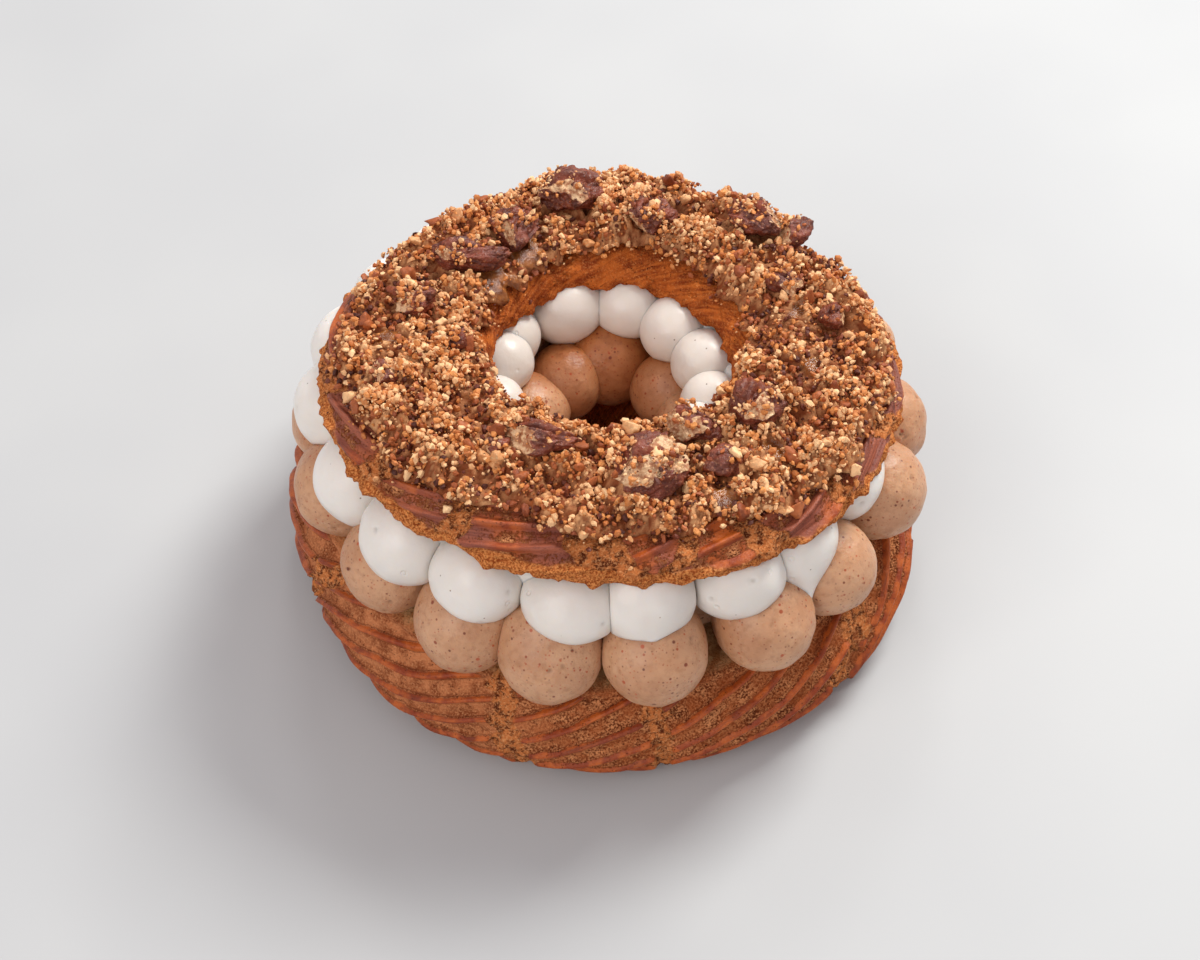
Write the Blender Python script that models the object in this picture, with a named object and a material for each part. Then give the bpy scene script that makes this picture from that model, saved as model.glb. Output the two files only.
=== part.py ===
"""Paris-Brest: a ring of choux pastry, split and filled with two layers of piped cream.

From the table up: the choux base with its piped ridges, the nut cream, the vanilla cream, the
choux cap, a heap of nut crumble on the cap, and the pecan pieces bedded in the crumble.
Metres, +Z up.  The origin is on the table, under the middle of the pastry.
"""
import math
import random

import bmesh
import bpy
from mathutils import Vector, noise

MM = 0.001
GAP = 0.3 * MM                 # clearance between pieces that rest on each other
OBJECT_NAME = "paris_brest"

# The layers aren't stacked quite true: each is this far to the right of the origin.
BASE_SHIFT_X = -0.8 * MM
NUT_SHIFT_X = 0.3 * MM
VANILLA_SHIFT_X = -1.7 * MM

# Choux base, cut level on top.
BASE_MIDDLE = 30.0 * MM        # radius of the ring's middle line
BASE_OUTER_HALF = 19.0 * MM
BASE_INNER_HALF = 19.5 * MM
BASE_WAIST = 8.0 * MM          # height of its widest line
BASE_RISE = 15.5 * MM          # from the waist to where the uncut top would be
BASE_FALL = 11.0 * MM
BASE_HEIGHT = 19.5 * MM
BASE_OUTLINE = ((2, 0.008, 2.9), (3, 0.006, 0.6), (5, 0.005, 1.8))
BASE_RIDGES = 5                # ridges met going up the outer side
BASE_RIDGE_DEPTH = 1.5 * MM
BASE_OUTER_STEPS = 8           # steps up its outer side
BASE_INNER_STEPS = 4

# Choux cap, whose cut face is its underside.  It sits tilted, high on the left and in front.
CAP_HEIGHT = 39.2 * MM
CAP_SHIFT_Y = 1.2 * MM
CAP_TILT_X = -0.05             # rise of the cap for each unit to the right
CAP_TILT_Y = -0.05             # rise for each unit to the back
CAP_MIDDLE = 29.0 * MM
CAP_OUTER_HALF = 12.05 * MM
CAP_INNER_HALF = 12.05 * MM
CAP_WAIST = 2.2 * MM
CAP_RISE = 4.6 * MM
CAP_FALL = 4.4 * MM
CAP_OUTLINE = ((1, 0.056, -1.57), (2, 0.035, 0.05), (3, 0.012, 1.57), (4, 0.004, 2.0))
# Where the cap's outline is drawn in or out: direction and width in degrees, and size.
CAP_DENTS = ((40, 26, -0.055), (138, 26, -0.060), (96, 24, -0.040), (-92, 42, 0.036), (-40, 24, 0.010))
CAP_RIDGES = 4
CAP_RIDGE_DEPTH = 0.8 * MM
CAP_OUTER_STEPS = 6
CAP_INNER_STEPS = 3

RIDGES_ROUND = 30              # ridges met in one turn, as the piped ridges run askew
SECTION_POWER = 2.3            # 2 is an ellipse, more is fuller at the corners

CREAM_AROUND = 68              # steps round each ring of cream

# Nut cream: a slab through the filling, with a ring of round bulbs outside and one inside.
# `first` is the angle of a bulb from the front, and `lean` makes the bulbs larger at `lean_at`.
NUT_FLOOR = BASE_HEIGHT + GAP
NUT_SLAB_IN = 18.5 * MM
NUT_SLAB_OUT = 36.8 * MM
NUT_SLAB_TOP = 33.0 * MM
NUT_OUTER = {"count": 18, "ring": 41.8 * MM, "radius": 7.3 * MM, "height": 26.8 * MM,
             "first": -0.175, "lean": 0.03, "lean_at": -1.9, "seed": 4}
NUT_INNER = {"count": 10, "ring": 13.0 * MM, "radius": 6.4 * MM, "height": 26.2 * MM,
             "first": 0.035, "lean": 0.03, "lean_at": 1.6, "seed": 7}

# Vanilla cream, piped on the nut cream and pressed flat by the cap.
VANILLA_FLOOR = NUT_SLAB_TOP + 1.5 * GAP
VANILLA_SLAB_IN = 18.0 * MM
VANILLA_SLAB_OUT = 37.2 * MM
VANILLA_OUTER = {"count": 19, "ring": 38.6 * MM, "radius": 6.5 * MM, "height": 34.3 * MM,
                 "first": -0.12, "lean": 0.08, "lean_at": -2.0, "seed": 12}
VANILLA_INNER = {"count": 13, "ring": 17.0 * MM, "radius": 5.0 * MM, "height": 34.2 * MM,
                 "first": 0.09, "lean": 0.04, "lean_at": 1.9, "seed": 15}

# Latitudes, in degrees, of the points that each side's section takes on a bulb.
NUT_OUTER_LATITUDES = (-45, -12, 20, 52, 90)
NUT_INNER_LATITUDES = (120, 75, 30, -10, -48)
VANILLA_OUTER_LATITUDES = (-75, -45, -15, 15, 45, 75)
VANILLA_INNER_LATITUDES = (50, 15, -20, -55, -85)

BULB_SPREAD = 0.045            # how unlike in size one bulb is to the next
BULB_RING_SPREAD = 0.4 * MM
BULB_HEIGHT_SPREAD = 0.3 * MM
VANILLA_LIFT = 0.7 * MM        # room between the vanilla cream and the nut bulbs under it
VALLEY_RADIUS = 0.8 * MM       # what is left of a bulb's slice where it meets its neighbour

# Nut crumble, heaped on the cap.
CRUMBLE_IN = 18.6 * MM
CRUMBLE_OUT = 38.8 * MM
CRUMBLE_THICK = 2.6 * MM
CRUMBLE_RAGGED = 1.3 * MM      # unevenness of its edges
CRUMBLE_LUMPS = 1.2 * MM       # unevenness of its top
CRUMBLE_LUMP_SIZE = 5 * MM
CRUMBLE_EDGE = 0.4 * MM        # thickness left at its edges
CRUMBLE_EDGE_WAVES = 4
CRUMBLE_AROUND = 32
CRUMBLE_ACROSS = 4

# Pecan pieces: (angle round the cap in degrees, radius, length, width, thickness, turn in degrees)
PECANS = (
    (105, 27.0 * MM, 10.6 * MM, 7.6 * MM, 5.2 * MM, 10),
    (131, 23.4 * MM, 8.3 * MM, 6.8 * MM, 4.8 * MM, 40),
    (154, 24.6 * MM, 12.0 * MM, 4.8 * MM, 4.4 * MM, 15),
    (77, 22.4 * MM, 7.6 * MM, 6.8 * MM, 4.6 * MM, 80),
    (46, 29.9 * MM, 10.6 * MM, 7.6 * MM, 5.0 * MM, -35),
    (-42, 26.6 * MM, 9.4 * MM, 7.3 * MM, 6.2 * MM, 70),
    (-63, 23.6 * MM, 8.6 * MM, 6.4 * MM, 4.6 * MM, 5),
    (-82, 30.2 * MM, 11.5 * MM, 8.6 * MM, 5.4 * MM, 25),
    (-114, 27.2 * MM, 11.0 * MM, 4.8 * MM, 4.2 * MM, -10),
)
PECAN_SUNK = 1.1 * MM          # height of a piece's lowest point over the cap
PECAN_ROUGH = 0.35             # unevenness of a piece, next to its size
PECAN_WAVES = 3                # uneven lumps along a piece
PECAN_GROOVE = 0.16            # depth and width of the groove between the lobes
PECAN_GROOVE_HALF = 0.12
PECAN_BREAKS = (-0.42, 0.44)   # where the broken ends are, from end to end
PECAN_LEAN = 0.15              # how far a piece lies out of level, in radians
PECAN_APART = 3.1              # keeps the unevenness of one piece unlike the next
PECAN_SEED = 3

CRUST_COLOUR = (0.55, 0.24, 0.09)
NUT_COLOUR = (0.62, 0.44, 0.29)
VANILLA_COLOUR = (0.93, 0.88, 0.78)
CRUMBLE_COLOUR = (0.50, 0.28, 0.14)
PECAN_COLOUR = (0.20, 0.06, 0.04)


def clear_scene():
    for old in list(bpy.data.objects):
        bpy.data.objects.remove(old)


def make_collection(name):
    group = bpy.data.collections.new(name)
    bpy.context.scene.collection.children.link(group)
    return group


def make_material(name, colour, roughness):
    material = bpy.data.materials.new(name)
    material.use_nodes = True
    shader = material.node_tree.nodes["Principled BSDF"]
    shader.inputs["Base Color"].default_value = (*colour, 1)
    shader.inputs["Roughness"].default_value = roughness
    shader.inputs["Metallic"].default_value = 0
    return material


def place(obj, collection, parent, material=None):
    """Move an object into its collection, under the empty that places it."""
    for group in list(obj.users_collection):
        group.objects.unlink(obj)
    collection.objects.link(obj)
    obj.parent = parent
    if material:
        obj.data.materials.clear()
        obj.data.materials.append(material)
    return obj


def make_cutter(obj, collection, parent):
    place(obj, collection, parent)
    obj.hide_render = True
    obj.display_type = "WIRE"
    return obj


def make_empty(name, collection, location, slope_x=0.0, slope_y=0.0):
    empty = bpy.data.objects.new(name, None)
    collection.objects.link(empty)
    empty.location = location
    empty.rotation_euler = (math.atan(slope_y), -math.atan(slope_x), 0)
    return empty


def slow_waves(angle, waves):
    """Sum of a few slow waves round the ring, each (number, size, phase)."""
    return sum(size * math.cos(number * (angle - phase)) for number, size, phase in waves)


def choux_section(outer_half, inner_half, waist, rise, fall, cut, outer_steps, inner_steps):
    """Section of a choux ring, as (offset from the middle line, height, outward x, outward z, climb).

    It starts at the lower outer corner, runs up the outer side, over the top and down the inner
    side.  The bottom is flat.  The top is flat at height `cut`, or a dome where `cut` is None.
    `climb` runs from 0 to 1 up each side.
    """
    sink = math.asin((waist / fall) ** (SECTION_POWER / 2))
    lift = math.pi / 2
    if cut is not None:
        lift = math.asin(((cut - waist) / rise) ** (SECTION_POWER / 2))

    def flank(half, way, steps):
        for step in range(steps + 1):
            climb = step / steps
            turn = -sink + (lift + sink) * climb
            across = math.cos(turn) ** (2 / SECTION_POWER)
            up = math.copysign(abs(math.sin(turn)) ** (2 / SECTION_POWER), turn)
            height = waist + up * (rise if up > 0 else fall)
            yield (way * half * across, height, way * across, up, climb)

    outer = list(flank(outer_half, 1, outer_steps))
    inner = list(flank(inner_half, -1, inner_steps))
    if cut is None:
        inner.pop()                      # the dome's highest point is already there
    return outer + inner[::-1]


def local_dents(angle, dents):
    """Sum of dents and bulges, each (direction in degrees, width in degrees, size)."""
    total = 0.0
    for degrees, width, size in dents:
        away = math.remainder(angle - math.radians(degrees), 2 * math.pi)
        total += size * math.exp(-(away / math.radians(width)) ** 2)
    return total


def choux_ring(name, middle, section, outline, dents, ridges, ridge_depth):
    """A torus reshaped to the choux section, with its uneven outline and its piped ridges.

    Its section lines climb askew, along the ridges, and are crests and valleys by turns.
    """
    around = 2 * RIDGES_ROUND
    slant = 2 * math.pi * ridges / RIDGES_ROUND
    bpy.ops.mesh.primitive_torus_add(major_segments=around, minor_segments=len(section))
    ring = bpy.context.object
    ring.name = name
    ring.data.name = name
    for vertex in ring.data.vertices:
        turn, step = divmod(vertex.index, len(section))
        offset, height, out_x, out_z, climb = section[step]
        angle = 2 * math.pi * turn / around + slant * climb
        valley = ridge_depth * (turn % 2) * math.sin(math.pi * climb)
        spread = 1 + slow_waves(angle, outline) + local_dents(angle, dents)
        radius = (middle + offset - valley * out_x) * spread
        height = max(0.0, height - valley * out_z)
        vertex.co = (radius * math.cos(angle), radius * math.sin(angle), height)
    split_quads(ring.data, "ALTERNATE")
    return ring


def bulbs_of(spec):
    """Angle, centre radius, height and size of each bulb, uneven as a hand leaves them."""
    chance = random.Random(spec["seed"])
    bulbs = []
    for number in range(spec["count"]):
        angle = spec["first"] - math.pi / 2 + 2 * math.pi * number / spec["count"]
        angle += chance.uniform(-1, 1) * BULB_SPREAD
        size = spec["radius"] * (1 + chance.uniform(-1, 1) * BULB_SPREAD)
        size *= 1 + spec["lean"] * math.cos(angle - spec["lean_at"])
        centre = spec["ring"] + chance.uniform(-1, 1) * BULB_RING_SPREAD
        height = spec["height"] + chance.uniform(-1, 1) * BULB_HEIGHT_SPREAD
        bulbs.append((angle, centre, height, size))
    return bulbs


def bulb_slices(spec, grow=0.0):
    """Slice of the ring of bulbs at each step round: angle, centre radius, height and radius.

    A slice goes through the middle of one bulb, and every valley between two bulbs has its own.
    """
    bulbs = bulbs_of(spec)
    count = len(bulbs)
    slices = []
    for number, (angle, centre, height, size) in enumerate(bulbs):
        full = 2 * math.pi
        before = bulbs[number - 1][0] - (full if number == 0 else 0)
        after = bulbs[(number + 1) % count][0] + (full if number == count - 1 else 0)
        start = (before + angle) / 2
        end = (angle + after) / 2
        first = round(CREAM_AROUND * number / count)
        last = round(CREAM_AROUND * (number + 1) / count)
        for step in range(first, last):
            at = start + (end - start) * (step - first) / (last - first)
            aside = centre * math.sin(at - angle)
            radius = math.sqrt(max(VALLEY_RADIUS ** 2, size ** 2 - aside ** 2)) + grow
            slices.append((at, centre * math.cos(at - angle), height, radius))
    return slices


def cap_plane(x, y):
    """Height of the cap's cut face over a point of the table."""
    return CAP_HEIGHT + CAP_TILT_X * x + CAP_TILT_Y * (y - CAP_SHIFT_Y)


def split_quads(mesh, method="FIXED"):
    """Split every face the same way, as the bent faces of a valley can fold either way."""
    shape = bmesh.new()
    shape.from_mesh(mesh)
    bmesh.ops.triangulate(shape, faces=shape.faces[:], quad_method=method)
    shape.to_mesh(mesh)
    shape.free()


def cream_ring(name, section_at):
    """A torus whose section at each step round is a list of (angle, radius, height)."""
    sections = [section_at(step) for step in range(CREAM_AROUND)]
    length = len(sections[0])
    bpy.ops.mesh.primitive_torus_add(major_segments=CREAM_AROUND, minor_segments=length)
    ring = bpy.context.object
    ring.name = name
    for vertex in ring.data.vertices:
        turn, step = divmod(vertex.index, length)
        angle, radius, height = sections[turn][step]
        vertex.co = (radius * math.cos(angle), radius * math.sin(angle), height)
    split_quads(ring.data)
    return ring


def nut_ring(name, grow=0.0):
    """The nut cream, flat where it sits on the base, or all grown by `grow` to serve as a cutter."""
    outer = bulb_slices(NUT_OUTER, grow)
    inner = bulb_slices(NUT_INNER, grow)
    floor = NUT_FLOOR - grow
    top = NUT_SLAB_TOP + grow
    slab_out = NUT_SLAB_OUT + grow
    slab_in = NUT_SLAB_IN - grow

    def foot_of(height, radius):
        return math.sqrt(max(0.0, radius ** 2 - (height - NUT_FLOOR) ** 2))

    def section_at(step):
        angle, centre, height, radius = outer[step]
        points = [(angle, max(slab_out, centre + foot_of(height, radius)), floor)]
        for latitude in NUT_OUTER_LATITUDES:
            turn = math.radians(latitude)
            points.append((angle, max(slab_out, centre + radius * math.cos(turn)),
                           height + radius * math.sin(turn)))
        points.append((angle, slab_out, top))
        angle, centre, height, radius = inner[step]
        points.append((angle, slab_in, top))
        for latitude in NUT_INNER_LATITUDES:
            turn = math.radians(latitude)
            points.append((angle, min(slab_in, centre - radius * math.cos(turn)),
                           height + radius * math.sin(turn)))
        points.append((angle, min(slab_in, centre - foot_of(height, radius)), floor))
        return points

    ring = cream_ring(name, section_at)
    ring.location.x = NUT_SHIFT_X
    return ring


def nut_cover(x, y):
    """Height that clears the nut cream's outer and inner bulbs over a point of the table."""
    height = 0.0
    for angle, centre, middle, size in bulbs_of(NUT_OUTER) + bulbs_of(NUT_INNER):
        aside_x = x - NUT_SHIFT_X - centre * math.cos(angle)
        aside_y = y - centre * math.sin(angle)
        room = (size + VANILLA_LIFT) ** 2 - aside_x ** 2 - aside_y ** 2
        if room > 0:
            height = max(height, middle + math.sqrt(room))
    return height


def vanilla_ring(name):
    """The vanilla cream, its underside over the nut cream and its top at the cap."""
    outer = bulb_slices(VANILLA_OUTER)
    inner = bulb_slices(VANILLA_INNER)

    def under_cap(angle, radius, height):
        x = radius * math.cos(angle) + VANILLA_SHIFT_X
        y = radius * math.sin(angle)
        return angle, radius, min(max(height, nut_cover(x, y)), cap_plane(x, y) - GAP)

    def section_at(step):
        angle, centre, height, radius = outer[step]
        points = [(angle, VANILLA_SLAB_OUT, VANILLA_FLOOR)]
        for latitude in VANILLA_OUTER_LATITUDES:
            turn = math.radians(latitude)
            reach = max(VANILLA_SLAB_OUT, centre + radius * math.cos(turn))
            points.append(under_cap(angle, reach, height + radius * math.sin(turn)))
        points.append(under_cap(angle, VANILLA_SLAB_OUT - VALLEY_RADIUS, CAP_HEIGHT * 2))
        angle, centre, height, radius = inner[step]
        points.append(under_cap(angle, VANILLA_SLAB_IN + VALLEY_RADIUS, CAP_HEIGHT * 2))
        for latitude in VANILLA_INNER_LATITUDES:
            turn = math.radians(latitude)
            reach = min(VANILLA_SLAB_IN, centre - radius * math.cos(turn))
            points.append(under_cap(angle, reach, height + radius * math.sin(turn)))
        points.append((angle, VANILLA_SLAB_IN, VANILLA_FLOOR))
        return points

    ring = cream_ring(name, section_at)
    ring.location.x = VANILLA_SHIFT_X
    return ring


def boolean_difference(obj, cutter):
    modifier = obj.modifiers.new("cut", "BOOLEAN")
    modifier.operation = "DIFFERENCE"
    modifier.solver = "EXACT"
    modifier.object = cutter


def crumble_edge(angle, radius, seed):
    """Ragged edge of the heap, as a radius."""
    where = Vector((math.cos(angle) * CRUMBLE_EDGE_WAVES, math.sin(angle) * CRUMBLE_EDGE_WAVES, seed))
    return radius + CRUMBLE_RAGGED * noise.noise(where)


def cap_spread(angle):
    """How far out the cap lies at an angle, next to a true circle."""
    return 1 + slow_waves(angle, CAP_OUTLINE) + local_dents(angle, CAP_DENTS)


def cap_surface(radius, angle):
    """Height of the cap's dome over its cut face."""
    offset = radius / cap_spread(angle) - CAP_MIDDLE
    half = CAP_OUTER_HALF if offset > 0 else CAP_INNER_HALF
    across = min(1.0, abs(offset) / half)
    return CAP_WAIST + CAP_RISE * (1 - across ** SECTION_POWER) ** (1 / SECTION_POWER)


def crumble_heap(name):
    """The heap of crumble: its underside follows the cap, and its top is lumpy."""
    steps = 2 * CRUMBLE_ACROSS
    bpy.ops.mesh.primitive_torus_add(major_segments=CRUMBLE_AROUND, minor_segments=steps)
    heap = bpy.context.object
    heap.name = name
    for vertex in heap.data.vertices:
        turn, step = divmod(vertex.index, steps)
        angle = 2 * math.pi * turn / CRUMBLE_AROUND
        outer = crumble_edge(angle, CRUMBLE_OUT * cap_spread(angle), 1)
        inner = crumble_edge(angle, CRUMBLE_IN * cap_spread(angle), 5)
        on_top = step < CRUMBLE_ACROSS
        share = (step if on_top else steps - step) / CRUMBLE_ACROSS
        radius = outer + (inner - outer) * share
        height = cap_surface(radius, angle) + 2 * GAP
        if on_top:
            swell = math.sqrt(max(0.0, 1 - (2 * share - 1) ** 2))
            spot = Vector((radius * math.cos(angle), radius * math.sin(angle), 0))
            lump = noise.noise(spot / CRUMBLE_LUMP_SIZE)
            height += CRUMBLE_EDGE + (CRUMBLE_THICK + CRUMBLE_LUMPS * lump) * swell
        vertex.co = (radius * math.cos(angle), radius * math.sin(angle), height)
    return heap


def pecan_piece(name, number, grow):
    """A broken pecan: two lobes with a groove between them, and flat broken faces."""
    degrees, radius, length, width, thickness, turn = PECANS[number]
    shape = bmesh.new()
    bmesh.ops.create_icosphere(shape, subdivisions=2, radius=0.5)
    drift = Vector((number * PECAN_APART, PECAN_SEED, 0))
    low, high = PECAN_BREAKS
    for vertex in shape.verts:
        point = vertex.co.copy()
        point *= 1 + PECAN_ROUGH * noise.noise(point * PECAN_WAVES + drift)
        groove = math.exp(-(point.y / PECAN_GROOVE_HALF) ** 2)
        point.z -= PECAN_GROOVE * groove * max(0.0, point.z)
        point.x = max(low, min(high, point.x))
        point = Vector((point.x * length, point.y * width, point.z * thickness))
        vertex.co = point + point.normalized() * grow
    mesh = bpy.data.meshes.new(name)
    shape.to_mesh(mesh)
    shape.free()
    piece = bpy.data.objects.new(name, mesh)
    angle = math.radians(degrees)
    height = cap_surface(radius, angle) + PECAN_SUNK + thickness / 2
    piece.location = (radius * math.cos(angle), radius * math.sin(angle), height)
    lean_x = PECAN_LEAN * math.sin(number)
    lean_y = PECAN_LEAN * math.cos(number)
    piece.rotation_euler = (lean_x, lean_y, math.radians(turn))
    return piece


def build_choux(parts, cap_frame):
    crust = make_material("choux_crust", CRUST_COLOUR, 0.45)
    base_section = choux_section(BASE_OUTER_HALF, BASE_INNER_HALF, BASE_WAIST, BASE_RISE,
                                 BASE_FALL, BASE_HEIGHT, BASE_OUTER_STEPS, BASE_INNER_STEPS)
    base = choux_ring("base_choux", BASE_MIDDLE, base_section,
                      BASE_OUTLINE, (), BASE_RIDGES, BASE_RIDGE_DEPTH)
    place(base, parts, None, crust)
    base.location.x = BASE_SHIFT_X
    cap_section = choux_section(CAP_OUTER_HALF, CAP_INNER_HALF, CAP_WAIST, CAP_RISE,
                                CAP_FALL, None, CAP_OUTER_STEPS, CAP_INNER_STEPS)
    cap = choux_ring("cap_choux", CAP_MIDDLE, cap_section,
                     CAP_OUTLINE, CAP_DENTS, CAP_RIDGES, CAP_RIDGE_DEPTH)
    place(cap, parts, cap_frame, crust)


def build_creams(parts, cutters):
    nut_colour = make_material("nut_cream", NUT_COLOUR, 0.4)
    place(nut_ring("nut_cream"), parts, None, nut_colour)
    vanilla_colour = make_material("vanilla_cream", VANILLA_COLOUR, 0.35)
    vanilla = place(vanilla_ring("vanilla_cream"), parts, None, vanilla_colour)
    space = make_cutter(nut_ring("nut_cream_space", GAP), cutters, None)
    boolean_difference(vanilla, space)


def build_topping(parts, cutters, cap_frame):
    skin = make_material("pecan_skin", PECAN_COLOUR, 0.5)
    heap = crumble_heap("crumble_topping")
    place(heap, parts, cap_frame, make_material("nut_crumble", CRUMBLE_COLOUR, 0.7))
    for number in range(len(PECANS)):
        name = "pecan_%02d" % (number + 1)
        place(pecan_piece(name, number, 0.0), parts, cap_frame, skin)
        space = make_cutter(pecan_piece(name + "_space", number, GAP), cutters, cap_frame)
        boolean_difference(heap, space)


def main():
    clear_scene()
    parts = make_collection(OBJECT_NAME)
    cutters = make_collection("cutters")
    cap_frame = make_empty("cap_frame", parts, (0, CAP_SHIFT_Y, CAP_HEIGHT), CAP_TILT_X, CAP_TILT_Y)
    build_choux(parts, cap_frame)
    build_creams(parts, cutters)
    build_topping(parts, cutters, cap_frame)


main()
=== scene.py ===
"""Paris-Brest: the looks of the choux, the two creams and the nut crumble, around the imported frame.

Metres, +Z up, in the frame's own coordinates.  The front of the pastry faces -Y.
"""
import math
import random

import bmesh
import bpy
import numpy as np
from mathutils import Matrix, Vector


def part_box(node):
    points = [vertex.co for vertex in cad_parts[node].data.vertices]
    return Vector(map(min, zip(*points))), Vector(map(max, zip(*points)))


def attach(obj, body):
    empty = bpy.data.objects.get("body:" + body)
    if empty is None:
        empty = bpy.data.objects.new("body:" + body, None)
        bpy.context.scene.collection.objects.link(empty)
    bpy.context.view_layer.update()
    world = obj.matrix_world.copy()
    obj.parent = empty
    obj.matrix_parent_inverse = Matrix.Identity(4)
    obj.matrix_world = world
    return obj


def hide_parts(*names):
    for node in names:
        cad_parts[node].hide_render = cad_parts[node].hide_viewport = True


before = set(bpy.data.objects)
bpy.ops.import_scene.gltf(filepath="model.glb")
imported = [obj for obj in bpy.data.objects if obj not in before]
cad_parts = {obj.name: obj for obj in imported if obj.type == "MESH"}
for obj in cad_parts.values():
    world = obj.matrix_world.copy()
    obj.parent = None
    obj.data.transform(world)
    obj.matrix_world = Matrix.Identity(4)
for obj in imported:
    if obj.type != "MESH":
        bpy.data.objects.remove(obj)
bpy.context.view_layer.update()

MM = 0.001
TURN = 2 * math.pi


# ---------------------------------------------------------------- places, from the frame

def node_middle(node):
    low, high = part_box(node)
    return Vector(((low[0] + high[0]) / 2, (low[1] + high[1]) / 2, (low[2] + high[2]) / 2))


BASE_LOW, BASE_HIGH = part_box("base_choux")
NUT_LOW, NUT_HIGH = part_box("nut_cream")
CAP_LOW, CAP_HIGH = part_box("cap_choux")

BASE_CENTRE_X = node_middle("base_choux").x
NUT_CENTRE_X = node_middle("nut_cream").x
BASE_TOP = BASE_HIGH[2]

# The cap's cut face: its height over the table's middle, and how it slopes.
CAP_TILT_X = -0.05
CAP_TILT_Y = -0.05
CAP_SHIFT_Y = 1.2 * MM
CAP_HEIGHT = 39.2 * MM


def cap_plane(x, y):
    return CAP_HEIGHT + CAP_TILT_X * x + CAP_TILT_Y * (y - CAP_SHIFT_Y)


# ---------------------------------------------------------------- noise on arrays of points

def lattice_value(cell, seed):
    """A random number from 0 to 1 for each whole-number cell."""
    mask = np.int64(0xFFFFFFFF)
    mixed = (cell[..., 0] * 374761393 + cell[..., 1] * 668265263
             + cell[..., 2] * 1442695041 + seed * 974634777) & mask
    mixed = ((mixed ^ (mixed >> 13)) * 1274126177) & mask
    mixed = ((mixed ^ (mixed >> 15)) * 2246822519) & mask
    return ((mixed ^ (mixed >> 16)) & mask) / float(mask)


def smooth_noise(points, size, seed=0):
    """Noise from -1 to 1, with features about `size` across."""
    where = points / size
    cell = np.floor(where).astype(np.int64)
    part = where - cell
    part = part * part * part * (part * (part * 6 - 15) + 10)
    total = np.zeros(points.shape[:-1])
    for dx in (0, 1):
        for dy in (0, 1):
            for dz in (0, 1):
                weight = ((part[..., 0] if dx else 1 - part[..., 0])
                          * (part[..., 1] if dy else 1 - part[..., 1])
                          * (part[..., 2] if dz else 1 - part[..., 2]))
                total += weight * lattice_value(cell + np.array((dx, dy, dz)), seed)
    return total * 2 - 1


def rough_noise(points, size, octaves, seed=0):
    """Noise of several sizes, each half the last."""
    total = np.zeros(points.shape[:-1])
    share = 1.0
    whole = 0.0
    for octave in range(octaves):
        total += share * smooth_noise(points, size / 2 ** octave, seed + octave)
        whole += share
        share *= 0.5
    return total / whole * 1.6


def cell_distance(points, size, seed=0):
    """Distance to the nearest of many scattered points, in cell widths."""
    where = points / size
    cell = np.floor(where).astype(np.int64)
    nearest = np.full(points.shape[:-1], 9.0)
    for dx in (-1, 0, 1):
        for dy in (-1, 0, 1):
            for dz in (-1, 0, 1):
                near = cell + np.array((dx, dy, dz))
                spot = np.stack([lattice_value(near, seed + k) for k in range(3)], axis=-1)
                nearest = np.minimum(nearest, np.linalg.norm(near + spot - where, axis=-1))
    return nearest


# ---------------------------------------------------------------- meshes

def new_object(name, mesh):
    obj = bpy.data.objects.new(name, mesh)
    bpy.context.scene.collection.objects.link(obj)
    return obj


def set_attribute(mesh, name, values):
    layer = mesh.attributes.new(name, "FLOAT", "POINT")
    layer.data.foreach_set("value", np.ascontiguousarray(values, dtype=np.float32).ravel())


def ring_mesh(name, points, attributes):
    """A ring from a grid of points, closed both round the ring and round its section."""
    around, steps = points.shape[:2]
    index = np.arange(around * steps).reshape(around, steps)
    across = np.roll(index, -1, axis=0)
    up = np.roll(index, -1, axis=1)
    both = np.roll(across, -1, axis=1)
    faces = np.stack([index, across, both, up], axis=-1).reshape(-1, 4)
    mesh = bpy.data.meshes.new(name)
    mesh.from_pydata(points.reshape(-1, 3).tolist(), [], faces.tolist())
    mesh.shade_smooth()
    for label, values in attributes.items():
        set_attribute(mesh, label, np.broadcast_to(values, (around, steps)))
    return new_object(name, mesh)


def grid_normals(points):
    """Outward direction at each point of a closed ring grid."""
    along = np.roll(points, -1, axis=0) - np.roll(points, 1, axis=0)
    up = np.roll(points, -1, axis=1) - np.roll(points, 1, axis=1)
    normal = np.cross(along, up)
    return normal / np.maximum(np.linalg.norm(normal, axis=-1, keepdims=True), 1e-12)


def slow_waves(angle, waves):
    total = np.zeros_like(angle)
    for number, size, phase in waves:
        total += size * np.cos(number * (angle - phase))
    return total


def fade(value, low, high):
    """0 below `low`, 1 above `high`, smooth between them."""
    share = np.clip((value - low) / (high - low), 0, 1)
    return share * share * (3 - 2 * share)


# ---------------------------------------------------------------- choux

SECTION_POWER = 2.3
GRID_FOLLOWS = 0.6              # how far the rows of points lean with the ridges

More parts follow.
